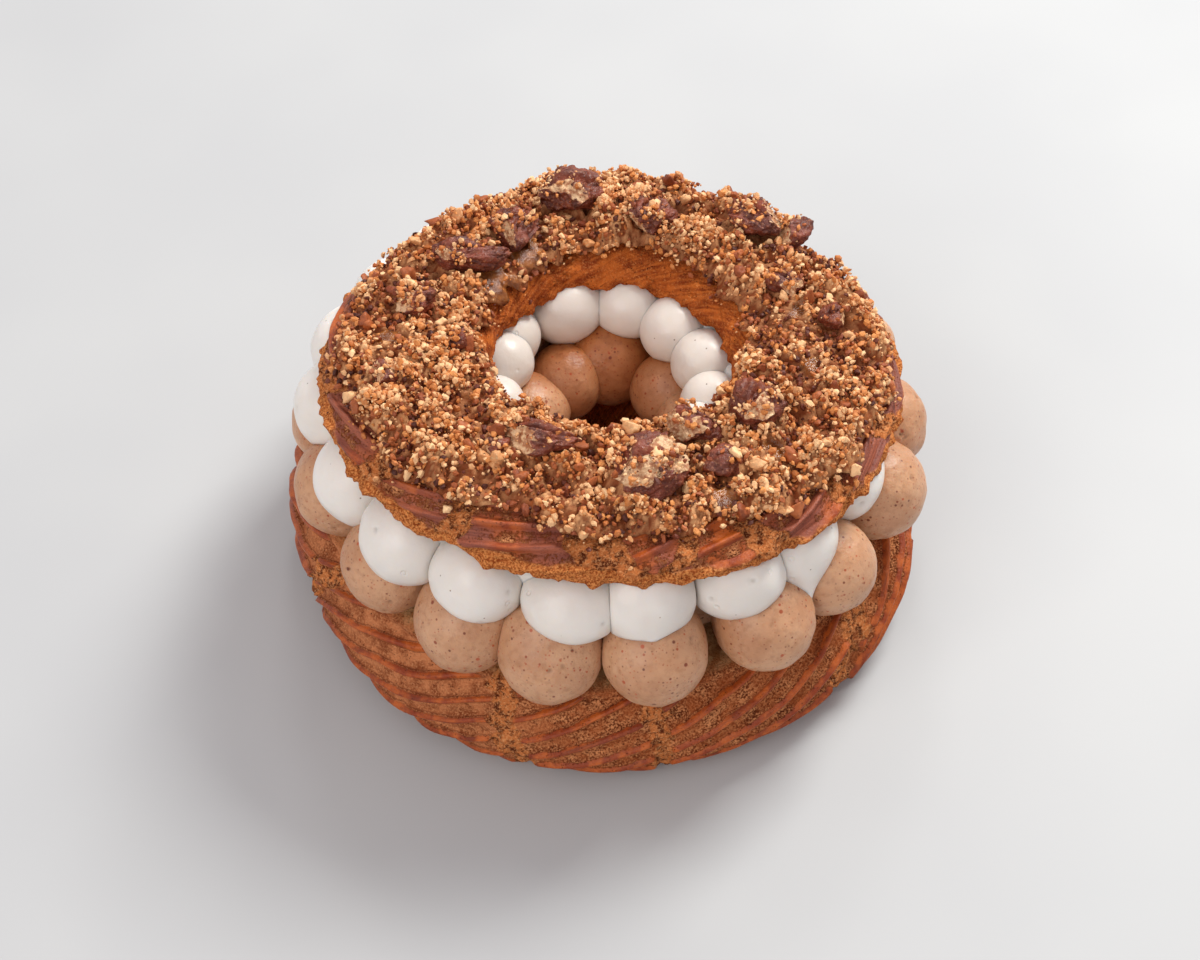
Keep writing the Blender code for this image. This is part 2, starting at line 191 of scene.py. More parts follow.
BASE = {
    "middle": 30.0 * MM, "outer_half": 19.2 * MM, "inner_half": 19.5 * MM, "waist": 8.0 * MM,
    "rise": 15.5 * MM, "fall": 11.0 * MM, "cut": 19.5 * MM, "pitch": 4.5 * MM, "round": 33,
    "depth": 1.8 * MM, "plate": 0.0,
    "outline": ((2, 0.008, 2.9), (3, 0.006, 0.6), (5, 0.005, 1.8)), "dents": (),
    "cracks": ((-43, 2.6), (-79, 1.6), (-106, 2.6), (-158, 2.4), (172, 2.4), (128, 3.4),
               (84, 2.6), (50, 3.2), (21, 2.6), (-10, 1.8)),
    "seed": 20, "around": 560, "outer_steps": 84, "top_steps": 8, "inner_steps": 18, "floor_steps": 4,
}
CAP = {
    "middle": 29.0 * MM, "outer_half": 12.05 * MM, "inner_half": 12.05 * MM, "waist": 2.2 * MM,
    "rise": 4.6 * MM, "fall": 4.4 * MM, "cut": None, "pitch": 3.4 * MM, "round": 20,
    "depth": 0.9 * MM, "plate": 1.0,
    "outline": ((1, 0.056, -1.571), (2, 0.035, 0.05), (3, 0.012, 1.571), (4, 0.004, 2.0)),
    "dents": ((40, 26, -0.055), (138, 26, -0.060), (96, 24, -0.040), (-92, 42, 0.036), (-40, 24, 0.010)),
    "cracks": ((-40, 2.4), (-61, 3.0), (-77, 2.0), (-91, 6.0), (-122, 2.6), (-141, 3.0), (-22, 3.0),
               (-168, 4.0), (160, 6.0), (118, 6.0), (75, 5.0), (40, 6.0), (5, 4.0)),
    "seed": 60, "around": 520, "outer_steps": 50, "top_steps": 0, "inner_steps": 24, "floor_steps": 8,
}


def spread_of(choux, angle):
    """How far out a ring's outline lies at an angle, next to a true circle."""
    out = 1 + slow_waves(angle, choux["outline"])
    for degrees, wide, size in choux["dents"]:
        away = (angle - math.radians(degrees) + math.pi) % TURN - math.pi
        out = out + size * np.exp(-(away / math.radians(wide)) ** 2)
    return out


def choux_section(choux):
    """Offsets, heights, climb and part (0 outer, 1 top, 2 inner, 3 floor) down a section."""
    power = SECTION_POWER
    sink = math.asin((choux["waist"] / choux["fall"]) ** (power / 2))
    lift = math.pi / 2
    if choux["cut"] is not None:
        lift = math.asin(((choux["cut"] - choux["waist"]) / choux["rise"]) ** (power / 2))

    def flank(half, steps, part):
        rows = []
        for step in range(steps + 1):
            climb = step / steps
            turn = -sink + (lift + sink) * climb
            across = max(0.0, math.cos(turn)) ** (2 / power)
            up = math.copysign(abs(math.sin(turn)) ** (2 / power), turn)
            height = choux["waist"] + up * (choux["rise"] if up > 0 else choux["fall"])
            rows.append((half * across, height, climb, part))
        return rows

    def flat(start, end, height, steps, part):
        return [(start + (end - start) * (step + 1) / (steps + 1), height, 0.5, part)
                for step in range(steps)]

    outer = flank(choux["outer_half"], choux["outer_steps"], 0)
    inner = flank(-choux["inner_half"], choux["inner_steps"], 2)
    rows = list(outer)
    if choux["cut"] is None:
        inner.pop()
    else:
        rows += flat(outer[-1][0], inner[-1][0], choux["cut"], choux["top_steps"], 1)
    rows += inner[::-1]
    rows += flat(inner[0][0], outer[0][0], 0.0, choux["floor_steps"], 3)
    return np.array(rows)


def choux_ring(choux):
    """A choux ring with its piped ridges, the torn cracks across them and its porous faces."""
    section = choux_section(choux)
    around = choux["around"]
    turn = TURN * np.arange(around)[:, None] / around
    climb = section[None, :, 2]
    part = section[None, :, 3]
    steps = np.hypot(np.diff(section[:, 0]), np.diff(section[:, 1]))
    run = np.concatenate([[0], np.cumsum(steps)])[None, :]
    flank = run[0, choux["outer_steps"]]
    slant = GRID_FOLLOWS * TURN / (choux["pitch"] * choux["round"])
    angle = turn + slant * np.where(part == 0, run, np.where(part == 1, flank, 0))
    angle = angle + slant * flank * np.where(part == 2, climb, 0)
    stretch = spread_of(choux, angle)
    radius = (choux["middle"] + section[None, :, 0]) * stretch
    height = section[None, :, 1] + 0 * radius
    points = np.stack([radius * np.cos(angle), radius * np.sin(angle), height], axis=-1)
    normal = grid_normals(points)

    # Ridges: narrow smooth crests with wide porous bands between them.
    seed = choux["seed"]
    wander = 0.20 * rough_noise(points, 13 * MM, 2, seed)
    phase = run / choux["pitch"] - choux["round"] * angle / TURN + wander
    from_crest = np.abs((phase % 1.0) - 0.5) * 2
    crest = 1 - fade(from_crest, 0.04, 0.50)
    side = np.where(part == 0, 1.0, np.where(part == 2, 0.75, 0.0))
    smooth_hole = np.where(part == 2, 1 - choux["plate"], 1.0)
    corner = fade(climb, 0.0, 0.10)
    if choux["cut"] is not None:
        corner = corner * fade(1 - climb, 0.0, 0.05)
    crack = np.zeros_like(radius)
    for number, (degrees, wide) in enumerate(choux["cracks"]):
        lean = 0.30 * math.sin(number * 2.3 + seed)
        away = (angle - math.radians(degrees) - lean * (climb - 0.5) + math.pi) % TURN - math.pi
        ragged = away + 0.045 * rough_noise(points, 4 * MM, 3, seed + number + 5)
        crack = np.maximum(crack, 1 - fade(np.abs(ragged), 0.75 * math.radians(wide),
                                           1.25 * math.radians(wide)))
    crack = crack * side * fade(climb, 0.0, 0.15)
    strength = 0.8 + 0.3 * smooth_noise(points, 16 * MM, seed + 3)
    ridge = crest * side * corner * smooth_hole * (1 - 0.9 * crack)

    grain = rough_noise(points, 1.4 * MM, 3, seed + 30)
    pores = cell_distance(points, 1.5 * MM, seed + 40)
    pits = 1 - fade(pores, 0.12, 0.42)
    sawn = np.where(part == 1, 1.0, 0.0) + np.where((part == 3) & (choux["cut"] is None), 1.0, 0.0)
    rim = np.zeros_like(radius)
    if choux["cut"] is None:
        fringe = 0.10 * rough_noise(points, 5 * MM, 3, seed + 70)
        rim = rim + np.where(part == 0, 1 - fade(climb + fringe, 0.20, 0.36), 0)
        rim = rim + np.where(part == 2, 1 - fade(climb + fringe, 0.05, 0.35), 0)
    bulk = rough_noise(points, 9 * MM, 2, seed + 50)
    tear = rough_noise(points, 2.4 * MM, 3, seed + 60)

    push = choux["depth"] * (strength * ridge - 0.8 * side * corner * (1 - 0.4 * crack))
    push += 0.40 * MM * bulk * side * corner
    push += crack * (0.75 * MM * tear - 0.15 * MM - 0.55 * MM * pits)
    push += side * corner * 0.13 * MM * grain * (1 - ridge)
    push += rim * (0.55 * MM * tear + 0.40 * MM * grain + 0.45 * MM)
    push += sawn * (0.22 * MM * grain - 0.30 * MM * pits)
    points = points + normal * push[..., None]
    points[..., 2] = np.maximum(points[..., 2], 0.0 if choux["cut"] is not None else -0.6 * MM)

    attributes = {
        "ridge": ridge, "crack": crack, "sawn": np.clip(sawn, 0, 1), "rim": rim,
        "along": angle * radius, "across": phase * choux["pitch"],
        "plate": choux["plate"] * np.where(part == 0, 1.0, 0.3),
        "mottled": (1 - choux["plate"]) * side * np.exp(
            -(((angle + math.radians(138) + math.pi) % TURN - math.pi) / 0.62) ** 4),
        "hole": np.where(part == 2, 1.0, 0.0),
    }
    return points, attributes


def make_base(material):
    points, attributes = choux_ring(BASE)
    points[..., 0] += BASE_CENTRE_X
    base = ring_mesh("choux_base", points, attributes)
    finish_piece(base, material, "choux_crust", "base_choux")
    return base


def tilted(points):
    """Points of the cap's own frame, moved to where the cap sits."""
    slope_x = math.atan(CAP_TILT_X)
    slope_y = math.atan(CAP_TILT_Y)
    x = points[..., 0] * math.cos(slope_x) - points[..., 2] * math.sin(slope_x)
    z = points[..., 0] * math.sin(slope_x) + points[..., 2] * math.cos(slope_x)
    y = points[..., 1] * math.cos(slope_y) - z * math.sin(slope_y)
    z = points[..., 1] * math.sin(slope_y) + z * math.cos(slope_y)
    return np.stack([x, y + CAP_SHIFT_Y, z + CAP_HEIGHT], axis=-1)


def make_cap(material):
    points, attributes = choux_ring(CAP)
    cap = ring_mesh("choux_cap", tilted(points), attributes)
    finish_piece(cap, material, "choux_crust", "cap_choux")
    return cap


def finish_piece(piece, material, slot, *nodes):
    """Give a piece its material and its body, and hide the parts of the frame that it stands for.  The slot is not
    used.
    """
    piece.data.materials.clear()
    piece.data.materials.append(material)
    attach(piece, "root")
    if nodes:
        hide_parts(*nodes)


# ---------------------------------------------------------------- creams

NUT_OUTER = {"count": 18, "ring": 41.8, "radius": 7.3, "height": 26.8, "first": -0.175,
             "lean": 0.03, "lean_at": -1.9, "seed": 4, "tuck": 1.8, "tuck_at": 0.55,
             "nudged": {16: -2.8, 17: -1.3, 0: -0.9, 2: -1.0, 15: -2.0}}
NUT_INNER = {"count": 10, "ring": 13.0, "radius": 6.4, "height": 26.2, "first": 0.035,
             "lean": 0.03, "lean_at": 1.6, "seed": 7,
             "moved": {5: 0.0, 4: -2.2, 6: -1.6, 3: -0.6, 7: 0.2, 0: -0.6, 2: -0.5, 8: 0.2},
             "grown": {5: 1.12, 4: 0.90, 6: 0.94, 3: 0.86, 7: 0.98, 2: 0.95},
             "nudged": {5: -1, 4: -20, 6: 5, 3: -20, 7: 8, 2: -18, 1: -9, 0: -4, 8: 5}}
VANILLA_OUTER = {"count": 19, "ring": 38.3, "radius": 6.85, "height": 34.3, "first": -0.12,
                 "lean": 0.08, "lean_at": -2.0, "seed": 12, "tuck": 3.6, "tuck_at": 1.57,
                 "nudged": {17: 2.8, 18: 2.2, 0: 1.6, 16: 1.5, 2: -2.6, 3: -4.2, 4: -2.0},
                 "moved": {0: -0.8, 18: -0.4, 3: 0.5}}
VANILLA_INNER = {"count": 13, "ring": 17.0, "radius": 5.0, "height": 34.2, "first": 0.09,
                 "lean": 0.04, "lean_at": 1.9, "seed": 15,
                 "moved": {0: 0.4, 1: -0.3, 3: 0.2, 4: -0.4, 5: -0.2, 6: 0.6, 7: 0.9, 8: 0.9, 9: -0.6, 10: -0.4},
                 "grown": {6: 1.12, 7: 1.16, 5: 1.05, 9: 1.06},
                 "nudged": {6: -5, 5: -9, 4: -9, 3: -8, 2: -5, 7: -1, 8: 6}}
BULB_SPREAD = 0.045
RING_WANDER = 0.4
HEIGHT_WANDER = 0.3

NUT_FLOOR = 19.8 * MM
NUT_SLAB_LOW = 19.8 * MM
NUT_SLAB_HIGH = 33.0 * MM
VANILLA_FLOOR = 33.2 * MM
VANILLA_SHIFT_X = -1.7 * MM
CONTACT_GAP = -0.05 * MM
CONTACT_SOFT = 0.55 * MM

# Bulbs of the outer rings that are unlike their neighbours: how much bigger and how far
# they sag, and how long a pulled tip is and how far up it points.
NUT_GROWN = {0: (1.04, 1.2), 1: (1.02, 0.7), 17: (1.0, 0.8), 2: (1.03, 0.4), 16: (1.01, 0.5)}
VANILLA_SQUASHED = {0: 0.76, 18: 0.94, 1: 0.96}
VANILLA_TIPS = {3: (3.4 * MM, -0.80, -0.42), 1: (0.8 * MM, -0.3, 0.0), 8: (1.6 * MM, 0.1, 0.0),
                14: (1.2 * MM, -0.4, 0.0)}


def bulbs_of(spec):
    """The bulbs of one ring: angle, distance from the middle, height and radius, in metres."""
    dice = random.Random(spec["seed"])
    bulbs = []
    for number in range(spec["count"]):
        angle = spec["first"] - math.pi / 2 + TURN * number / spec["count"]
        angle += dice.uniform(-1, 1) * BULB_SPREAD
        size = spec["radius"] * (1 + dice.uniform(-1, 1) * BULB_SPREAD)
        size *= 1 + spec["lean"] * math.cos(angle - spec["lean_at"])
        ring = spec["ring"] + dice.uniform(-1, 1) * RING_WANDER
        height = spec["height"] + dice.uniform(-1, 1) * HEIGHT_WANDER
        ring += spec.get("moved", {}).get(number, 0.0)
        ring -= spec.get("tuck", 0.0) * max(0.0, math.cos(angle - spec.get("tuck_at", 0.0)))
        size *= spec.get("grown", {}).get(number, 1.0)
        angle += math.radians(spec.get("nudged", {}).get(number, 0.0))
        bulbs.append((angle, ring * MM, height * MM, size * MM))
    return bulbs


def ball(subdivisions):
    """Points and triangles of a unit ball."""
    shape = bmesh.new()
    bmesh.ops.create_icosphere(shape, subdivisions=subdivisions, radius=1.0)
    points = np.array([vertex.co[:] for vertex in shape.verts])
    faces = np.array([[vertex.index for vertex in face.verts] for face in shape.faces])
    shape.free()
    return points, faces


def away_from(points, normal, soft):
    """Points kept on the near side of a plane through the ring's axis, with a softened edge."""
    over = points @ normal
    inside = np.clip((over + soft) ** 2 / (4 * soft), 0, None)
    move = np.where(over > soft, over, np.where(over > -soft, inside, 0))
    return points - normal * move[:, None]


def bulb_points(unit, ring_of_bulbs, number, stretch, tip, seed, soft):
    """One piped bulb: an uneven ball pressed against the bulbs on both its sides."""
    angle, ring, height, radius = ring_of_bulbs[number]
    outward = np.array((math.cos(angle), math.sin(angle), 0.0))
    uneven = 1 + 0.035 * smooth_noise(unit + 7.3 * number, 0.9, seed)
    uneven = uneven + 0.012 * smooth_noise(unit + 3.1 * number, 0.35, seed + 1)
    points = unit * radius * uneven[:, None]
    points[:, 2] *= stretch
    if tip is not None:
        length, up, aside = tip
        toward = np.array((math.cos(angle + aside), math.sin(angle + aside), up))
        toward /= np.linalg.norm(toward)
        facing = np.clip(unit @ toward, 0, 1)
        points += toward * (length * (0.55 * facing ** 70 + 0.45 * facing ** 10))[:, None]
    points = points + outward * ring + np.array((0, 0, height))
    if soft is None:
        return points
    count = len(ring_of_bulbs)
    for other, way in ((ring_of_bulbs[number - 1], -1), (ring_of_bulbs[(number + 1) % count], 1)):
        apart = (other[0] - angle) * way % TURN
        share = radius / (radius + other[3])
        edge = angle + way * apart * share
        normal = np.array((-math.sin(edge), math.cos(edge), 0.0)) * way
        points = away_from(points + normal * CONTACT_GAP, normal, soft) - normal * CONTACT_GAP
    return points


def slab_points(low, high, inside, outside, around=90):
    """A flat ring with rounded edges, which joins the bulbs into one."""
    middle = (inside + outside) / 2
    half = (outside - inside) / 2
    steps = 24
    turn = TURN * np.arange(around)[:, None] / around
    section = TURN * np.arange(steps)[None, :] / steps
    power = 2 / 5
    across = np.sign(np.cos(section)) * np.abs(np.cos(section)) ** power
    up = np.sign(np.sin(section)) * np.abs(np.sin(section)) ** power
    radius = middle + half * across + 0 * turn
    height = (low + high) / 2 + (high - low) / 2 * up + 0 * turn
    points = np.stack([radius * np.cos(turn), radius * np.sin(turn), height], axis=-1)
    index = np.arange(around * steps).reshape(around, steps)
    across_index = np.roll(index, -1, axis=0)
    faces = np.stack([index, across_index, np.roll(across_index, -1, axis=1),
                      np.roll(index, -1, axis=1)], axis=-1).reshape(-1, 4)
    return points.reshape(-1, 3), faces


def joined(blocks):
    """One list of points and one of faces from several."""
    points = []
    faces = []
    start = 0
    for block_points, block_faces in blocks:
        points.append(block_points)
        faces += (block_faces + start).tolist()
        start += len(block_points)
    return np.concatenate(points), faces


def read_points(mesh):
    flat = np.empty(len(mesh.vertices) * 3)
    mesh.vertices.foreach_get("co", flat)
    return flat.reshape(-1, 3)


def write_points(mesh, points):
    mesh.vertices.foreach_set("co", np.ascontiguousarray(points).ravel())
    mesh.update()


def read_normals(mesh):
    flat = np.empty(len(mesh.vertices) * 3)
    mesh.vertex_normals.foreach_get("vector", flat)
    return flat.reshape(-1, 3)


def lift_over(points, bulbs, grow):
    """Points raised so that none lies inside the bulbs below."""
    height = points[:, 2].copy()
    for angle, ring, middle, radius in bulbs:
        dx = points[:, 0] - ring * math.cos(angle)
        dy = points[:, 1] - ring * math.sin(angle)
        reach = (radius + grow) ** 2 - dx ** 2 - dy ** 2
        top = middle + np.sqrt(np.maximum(reach, 0))
        height = np.where((reach > 0) & (top > height), top, height)
    return height


def pitted(points, normal, seed, size, depth):
    """Small air holes, here and there in a cream."""
    near = cell_distance(points, size, seed)
    lone = smooth_noise(points, size * 1.2, seed + 9)
    pit = (1 - fade(near, 0.06, 0.17)) * fade(lone, 0.1, 0.4)
    return points - normal * (pit * depth)[:, None], pit


def cream_mesh(name, blocks):
    points, faces = joined(blocks)
    mesh = bpy.data.meshes.new(name)
    mesh.from_pydata(points.tolist(), [], faces)
    mesh.shade_smooth()
    return new_object(name, mesh)


def cream_core(name, material, slot, low, high, inside, outside, shift):
    """The ring of cream behind the bulbs, which joins them."""
    points, faces = slab_points(low, high, inside, outside)
    points[:, 0] += shift
    core = cream_mesh(name, [(points, faces)])
    set_attribute(core.data, "pit", np.zeros(len(points)))
    finish_piece(core, material, slot)
    return core


def make_nut_cream(material):
    fine, fine_faces = ball(5)
    plain, plain_faces = ball(4)
    blocks = []
    dice = random.Random(41)
    for spec in (NUT_OUTER, NUT_INNER):
        outer = spec is NUT_OUTER
        unit, faces = (fine, fine_faces) if outer else (plain, plain_faces)
        ring = bulbs_of(spec)
        for number in range(len(ring)):
            grow, sag = NUT_GROWN.get(number, (1.0, 0.0)) if outer else (1.0, 0.0)
            soft = CONTACT_SOFT if outer else None
            points = bulb_points(unit, ring, number, dice.uniform(0.98, 1.02), None, spec["seed"], soft)
            angle, away, height, _ = ring[number]
            middle = np.array((away * math.cos(angle), away * math.sin(angle), height))
            points = middle + (points - middle) * grow
            points[:, 2] -= sag * MM * fade(np.hypot(points[:, 0], points[:, 1]), 42 * MM, 47 * MM)
            blocks.append((points, faces))
    cream = cream_mesh("cream_nut", blocks)
    mesh = cream.data
    points = read_points(mesh)
    normal = read_normals(mesh)
    points = points + normal * (0.10 * MM * rough_noise(points, 2.2 * MM, 3, 8))[:, None]
    points, pit = pitted(points, normal, 12, 2.4 * MM, 0.40 * MM)
    distance = np.hypot(points[:, 0], points[:, 1])
    resting = distance < 43.5 * MM
    points[:, 2] = np.where(resting, np.maximum(points[:, 2], NUT_FLOOR), points[:, 2])
    points[:, 0] += NUT_CENTRE_X
    write_points(mesh, points)
    mesh.shade_smooth()
    set_attribute(mesh, "pit", pit)
    # Mask of the inner bulbs at the back of the hole, which the material tints darker and warmer: painted shade.
    set_attribute(mesh, "inner", (1 - fade(distance, 20 * MM, 30 * MM)) * fade(points[:, 1], -4 * MM, 12 * MM))
    finish_piece(cream, material, "nut_cream", "nut_cream")
    cream_core("cream_nut_core", material, "nut_cream", NUT_FLOOR, NUT_SLAB_HIGH, 17.5 * MM, 36.6 * MM,
               NUT_CENTRE_X)


def make_vanilla_cream(material):
    fine, fine_faces = ball(5)
    plain, plain_faces = ball(4)
    blocks = []
    dice = random.Random(52)
    for spec in (VANILLA_OUTER, VANILLA_INNER):
        outer = spec is VANILLA_OUTER
        unit, faces = (fine, fine_faces) if outer else (plain, plain_faces)
        ring = bulbs_of(spec)
        for number in range(len(ring)):
            tip = VANILLA_TIPS.get(number) if outer else None
            soft = CONTACT_SOFT if outer else None
            squash = VANILLA_SQUASHED.get(number, dice.uniform(1.0, 1.05)) if outer else 1.0
            points = bulb_points(unit, ring, number, squash, tip, spec["seed"], soft)
            blocks.append((points, faces))
    web, web_faces = slab_points(34.9 * MM, 38.8 * MM, 35.0 * MM, 38.6 * MM)
    turn = np.arctan2(web[:, 1], web[:, 0])
    tuck = VANILLA_OUTER["tuck"] * MM * np.maximum(0, np.cos(turn - VANILLA_OUTER["tuck_at"]))
    web[:, :2] *= (1 - tuck / np.hypot(web[:, 0], web[:, 1]))[:, None]
    blocks.append((web, web_faces))
    cream = cream_mesh("cream_vanilla", blocks)
    mesh = cream.data
    points = read_points(mesh)
    normal = read_normals(mesh)
    points = points + normal * (0.03 * MM * rough_noise(points, 1.6 * MM, 2, 28))[:, None]
    points, pit = pitted(points, normal, 32, 3.2 * MM, 0.45 * MM)

    # The whole ring sits a little to the left; the bulbs below it push its underside up.
    points[:, 0] += VANILLA_SHIFT_X
    below = bulbs_of(NUT_OUTER) + bulbs_of(NUT_INNER)
    shifted = points.copy()
    shifted[:, 0] -= NUT_CENTRE_X
    height = lift_over(shifted, below, 0.02 * MM)
    reach = np.hypot(shifted[:, 0], shifted[:, 1])
    on_slab = (reach > 17.3 * MM) & (reach < 36.8 * MM)
    height = np.where(on_slab, np.maximum(height, VANILLA_FLOOR), height)
    radius = np.hypot(points[:, 0], points[:, 1] - CAP_SHIFT_Y)
    under_cap = (1 - fade(radius, 42.0 * MM, 43.6 * MM)) * fade(radius, 16.0 * MM, 18.5 * MM)
    ceiling = cap_plane(points[:, 0], points[:, 1]) - 0.05 * MM
    height = np.where(height > ceiling, height + (ceiling - height) * under_cap, height)
    points[:, 2] = height
    write_points(mesh, points)
    mesh.shade_smooth()
    set_attribute(mesh, "pit", pit)
    # Mask of the inner bulbs, which the material tints a little darker: painted shade.
    set_attribute(mesh, "inner", 1 - fade(radius, 20 * MM, 30 * MM))
    finish_piece(cream, material, "vanilla_cream", "vanilla_cream")
    cream_core("cream_vanilla_core", material, "vanilla_cream", VANILLA_FLOOR, 37.4 * MM,
               18.6 * MM, 36.4 * MM, VANILLA_SHIFT_X)


# ---------------------------------------------------------------- crumble

CRUMBLE_IN = 17.2 * MM
CRUMBLE_OUT = 40.6 * MM
CRUMBLE_THICK = 2.0 * MM
CRUMBLE_RAGGED = 1.2 * MM
CRUMBLE_LUMPS = 1.70 * MM
CRUMBLE_FRONT = -2.8 * MM       # how much more crust shows at the front
CRUMBLE_BACK = 2.8 * MM         # and at the hole's edge, to the back and right
CRUMBLE_LEFT = -1.5 * MM        # and outside on the left

# Where syrup lies bare: direction in degrees, distance from the middle and size, in mm.
SYRUP = ((154, 19.8, 3.4), (134, 19.2, 2.2), (8, 27.5, 1.6), (-14, 29.0, 1.4), (-66, 36.0, 2.2),
         (-172, 33.0, 1.8), (-48, 32.5, 1.5), (-100, 27.0, 1.4))


def cap_surface(radius, angle):
    """Height of the cap's dome over its cut face."""
    spread = spread_of(CAP, angle)
    offset = radius / spread - CAP["middle"]
    half = np.where(offset > 0, CAP["outer_half"], CAP["inner_half"])
    across = np.minimum(1.0, np.abs(offset) / half)
    return CAP["waist"] + CAP["rise"] * (1 - across ** SECTION_POWER) ** (1 / SECTION_POWER)


def front_of(angle):
    """1 at the front of the ring and 0 away from it."""
    away = (angle + math.pi / 2 + math.pi) % TURN - math.pi
    return np.exp(-away ** 2 / 0.5)


def crumble_edges(angle):
    """Inner and outer edge of the crumble, both ragged."""
    spot = np.stack([np.cos(angle), np.sin(angle), 0 * angle], axis=-1)
    spread = spread_of(CAP, angle)
    outer = CRUMBLE_OUT + CRUMBLE_RAGGED * rough_noise(spot, 0.12, 2, 1)
    outer = outer + CRUMBLE_FRONT * front_of(angle)
    away = (angle - math.radians(62) + math.pi) % TURN - math.pi
    aside = (angle - math.radians(196) + math.pi) % TURN - math.pi
    outer = outer + CRUMBLE_LEFT * np.exp(-aside ** 2 / 0.35)
    inner = CRUMBLE_IN + CRUMBLE_RAGGED * rough_noise(spot, 0.12, 2, 5)
    inner = inner + CRUMBLE_BACK * np.exp(-away ** 2 / 0.6)
    return inner * spread, outer * spread


def crumble_share(radius, angle):
    """1 in the middle of the crumble and 0 at its ragged edges."""
    inner, outer = crumble_edges(angle)
    return fade(outer - radius, -0.4 * MM, 3.2 * MM) * fade(radius - inner, -0.3 * MM, 3.0 * MM)


def clumps(spot):
    """How the heap rises into rounded clumps and sinks between them, from -1 to 1."""
    broad = np.clip(smooth_noise(spot, 6.5 * MM, 71) * 1.8, -1.0, 1.0)
    bent = spot + 0.9 * MM * np.stack([smooth_noise(spot, 3 * MM, 75), smooth_noise(spot, 3 * MM, 76),
                                       0 * spot[..., 0]], axis=-1)
    big = np.clip(0.75 - 5.2 * nearest_cell(bent, 4.6 * MM, 131)[0] ** 2, -1, 1)
    small = np.clip(0.75 - 5.2 * nearest_cell(bent, 2.3 * MM, 151)[0] ** 2, -1, 1)
    return np.clip(0.40 * broad + 0.50 * big + 0.25 * small, -1, 1)


def syrup_share(radius, angle):
    """1 where a pool of syrup shows between the crumbs."""
    x = radius * np.cos(angle)
    y = radius * np.sin(angle)
    share = 0 * x
    for degrees, distance, size in SYRUP:
        at = math.radians(degrees)
        away = np.hypot(x - distance * MM * math.cos(at), y - distance * MM * math.sin(at))
        share = np.maximum(share, np.exp(-(away / (size * MM)) ** 2))
    spot = np.stack([x, y, 0 * x], axis=-1)
    return fade(share + 0.30 * rough_noise(spot, 2.4 * MM, 2, 77), 0.30, 0.60)


def heap_height(radius, angle):
    """Height of the heap's top over the cap's cut face."""
    spot = np.stack([radius * np.cos(angle), radius * np.sin(angle), 0 * radius], axis=-1)
    share = crumble_share(radius, angle)
    pool = syrup_share(radius, angle)
    lumps = CRUMBLE_LUMPS * clumps(spot) * (1 - pool) - 0.5 * MM * pool
    return cap_surface(radius, angle) + share * (CRUMBLE_THICK + lumps)


def nearest_cell(points, size, seed):
    """Distance to the nearest scattered point, and that point's own random number."""
    where = points / size
    cell = np.floor(where).astype(np.int64)
    nearest = np.full(points.shape[:-1], 9.0)
    chance = np.zeros(points.shape[:-1])
    for dx in (-1, 0, 1):
        for dy in (-1, 0, 1):
            near = cell + np.array((dx, dy, 0))
            spot = np.stack([lattice_value(near, seed + k) for k in range(2)], axis=-1)
            away = np.linalg.norm(near[..., :2] + spot - where[..., :2], axis=-1)
            closer = away < nearest
            nearest = np.where(closer, away, nearest)
            chance = np.where(closer, lattice_value(near, seed + 7), chance)
    return nearest, chance


def make_crumble_core(material):
    """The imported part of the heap, under the loose crumbs, itself made of small grains."""
    around = 840
    across = 58
    under = 6
    angle = TURN * np.arange(around)[:, None] / around
    share = np.arange(across + 1)[None, :] / across
    inner, outer = crumble_edges(angle)
    inner = inner + 1.2 * MM
    outer = outer - 1.2 * MM
    radius = outer + (inner - outer) * share
    turn = angle + 0 * radius
    flat = np.stack([radius * np.cos(turn), radius * np.sin(turn), 0 * radius], axis=-1)
    near, chance = nearest_cell(flat, 0.95 * MM, 81)
    finer, fine_chance = nearest_cell(flat, 0.5 * MM, 91)
    edge = fade(np.minimum(share, 1 - share), 0, 0.08)
    pool = syrup_share(radius, turn)
    edge = edge * (1 - 0.85 * pool)
    grains = 0.55 * MM * (1 - np.minimum(near, 1) ** 2) * (0.3 + chance)
    grains = grains + 0.22 * MM * (1 - np.minimum(finer, 1) ** 2) * (0.3 + fine_chance)
    top = heap_height(radius, turn) + (grains - 0.55 * MM) * edge
    top = np.maximum(top, cap_surface(radius, turn) - 0.4 * MM)
    back_share = 1 - (np.arange(under)[None, :] + 1) / (under + 1)
    back_radius = outer + (inner - outer) * back_share
    bottom = cap_surface(back_radius, turn[:, :1]) - 0.6 * MM
    plain = 0 * back_radius
    attributes = {
        "tint": np.concatenate([0.6 * chance + 0.4 * fine_chance, plain], axis=1),
        # Darker between the grains and all over the underside: painted shade.
        "grain_gap_shade": np.concatenate([fade(near * 0.6 + finer * 0.5, 0.35, 0.85), plain + 1], axis=1),
        # Darker in the hollows between the clumps and all over the underside: painted shade.
        "low": np.concatenate([1 - fade(clumps(flat), -0.6, 0.35), plain + 1], axis=1),
        "syrup": np.concatenate([pool, plain], axis=1),
    }
    radius = np.concatenate([radius, back_radius], axis=1)
    height = np.concatenate([top, bottom], axis=1)
    turn = angle + 0 * radius
    points = np.stack([radius * np.cos(turn), radius * np.sin(turn), height], axis=-1)
    core = ring_mesh("crumble_core", tilted(points), attributes)
    finish_piece(core, material, "nut_crumble", "crumble_topping")
    return core


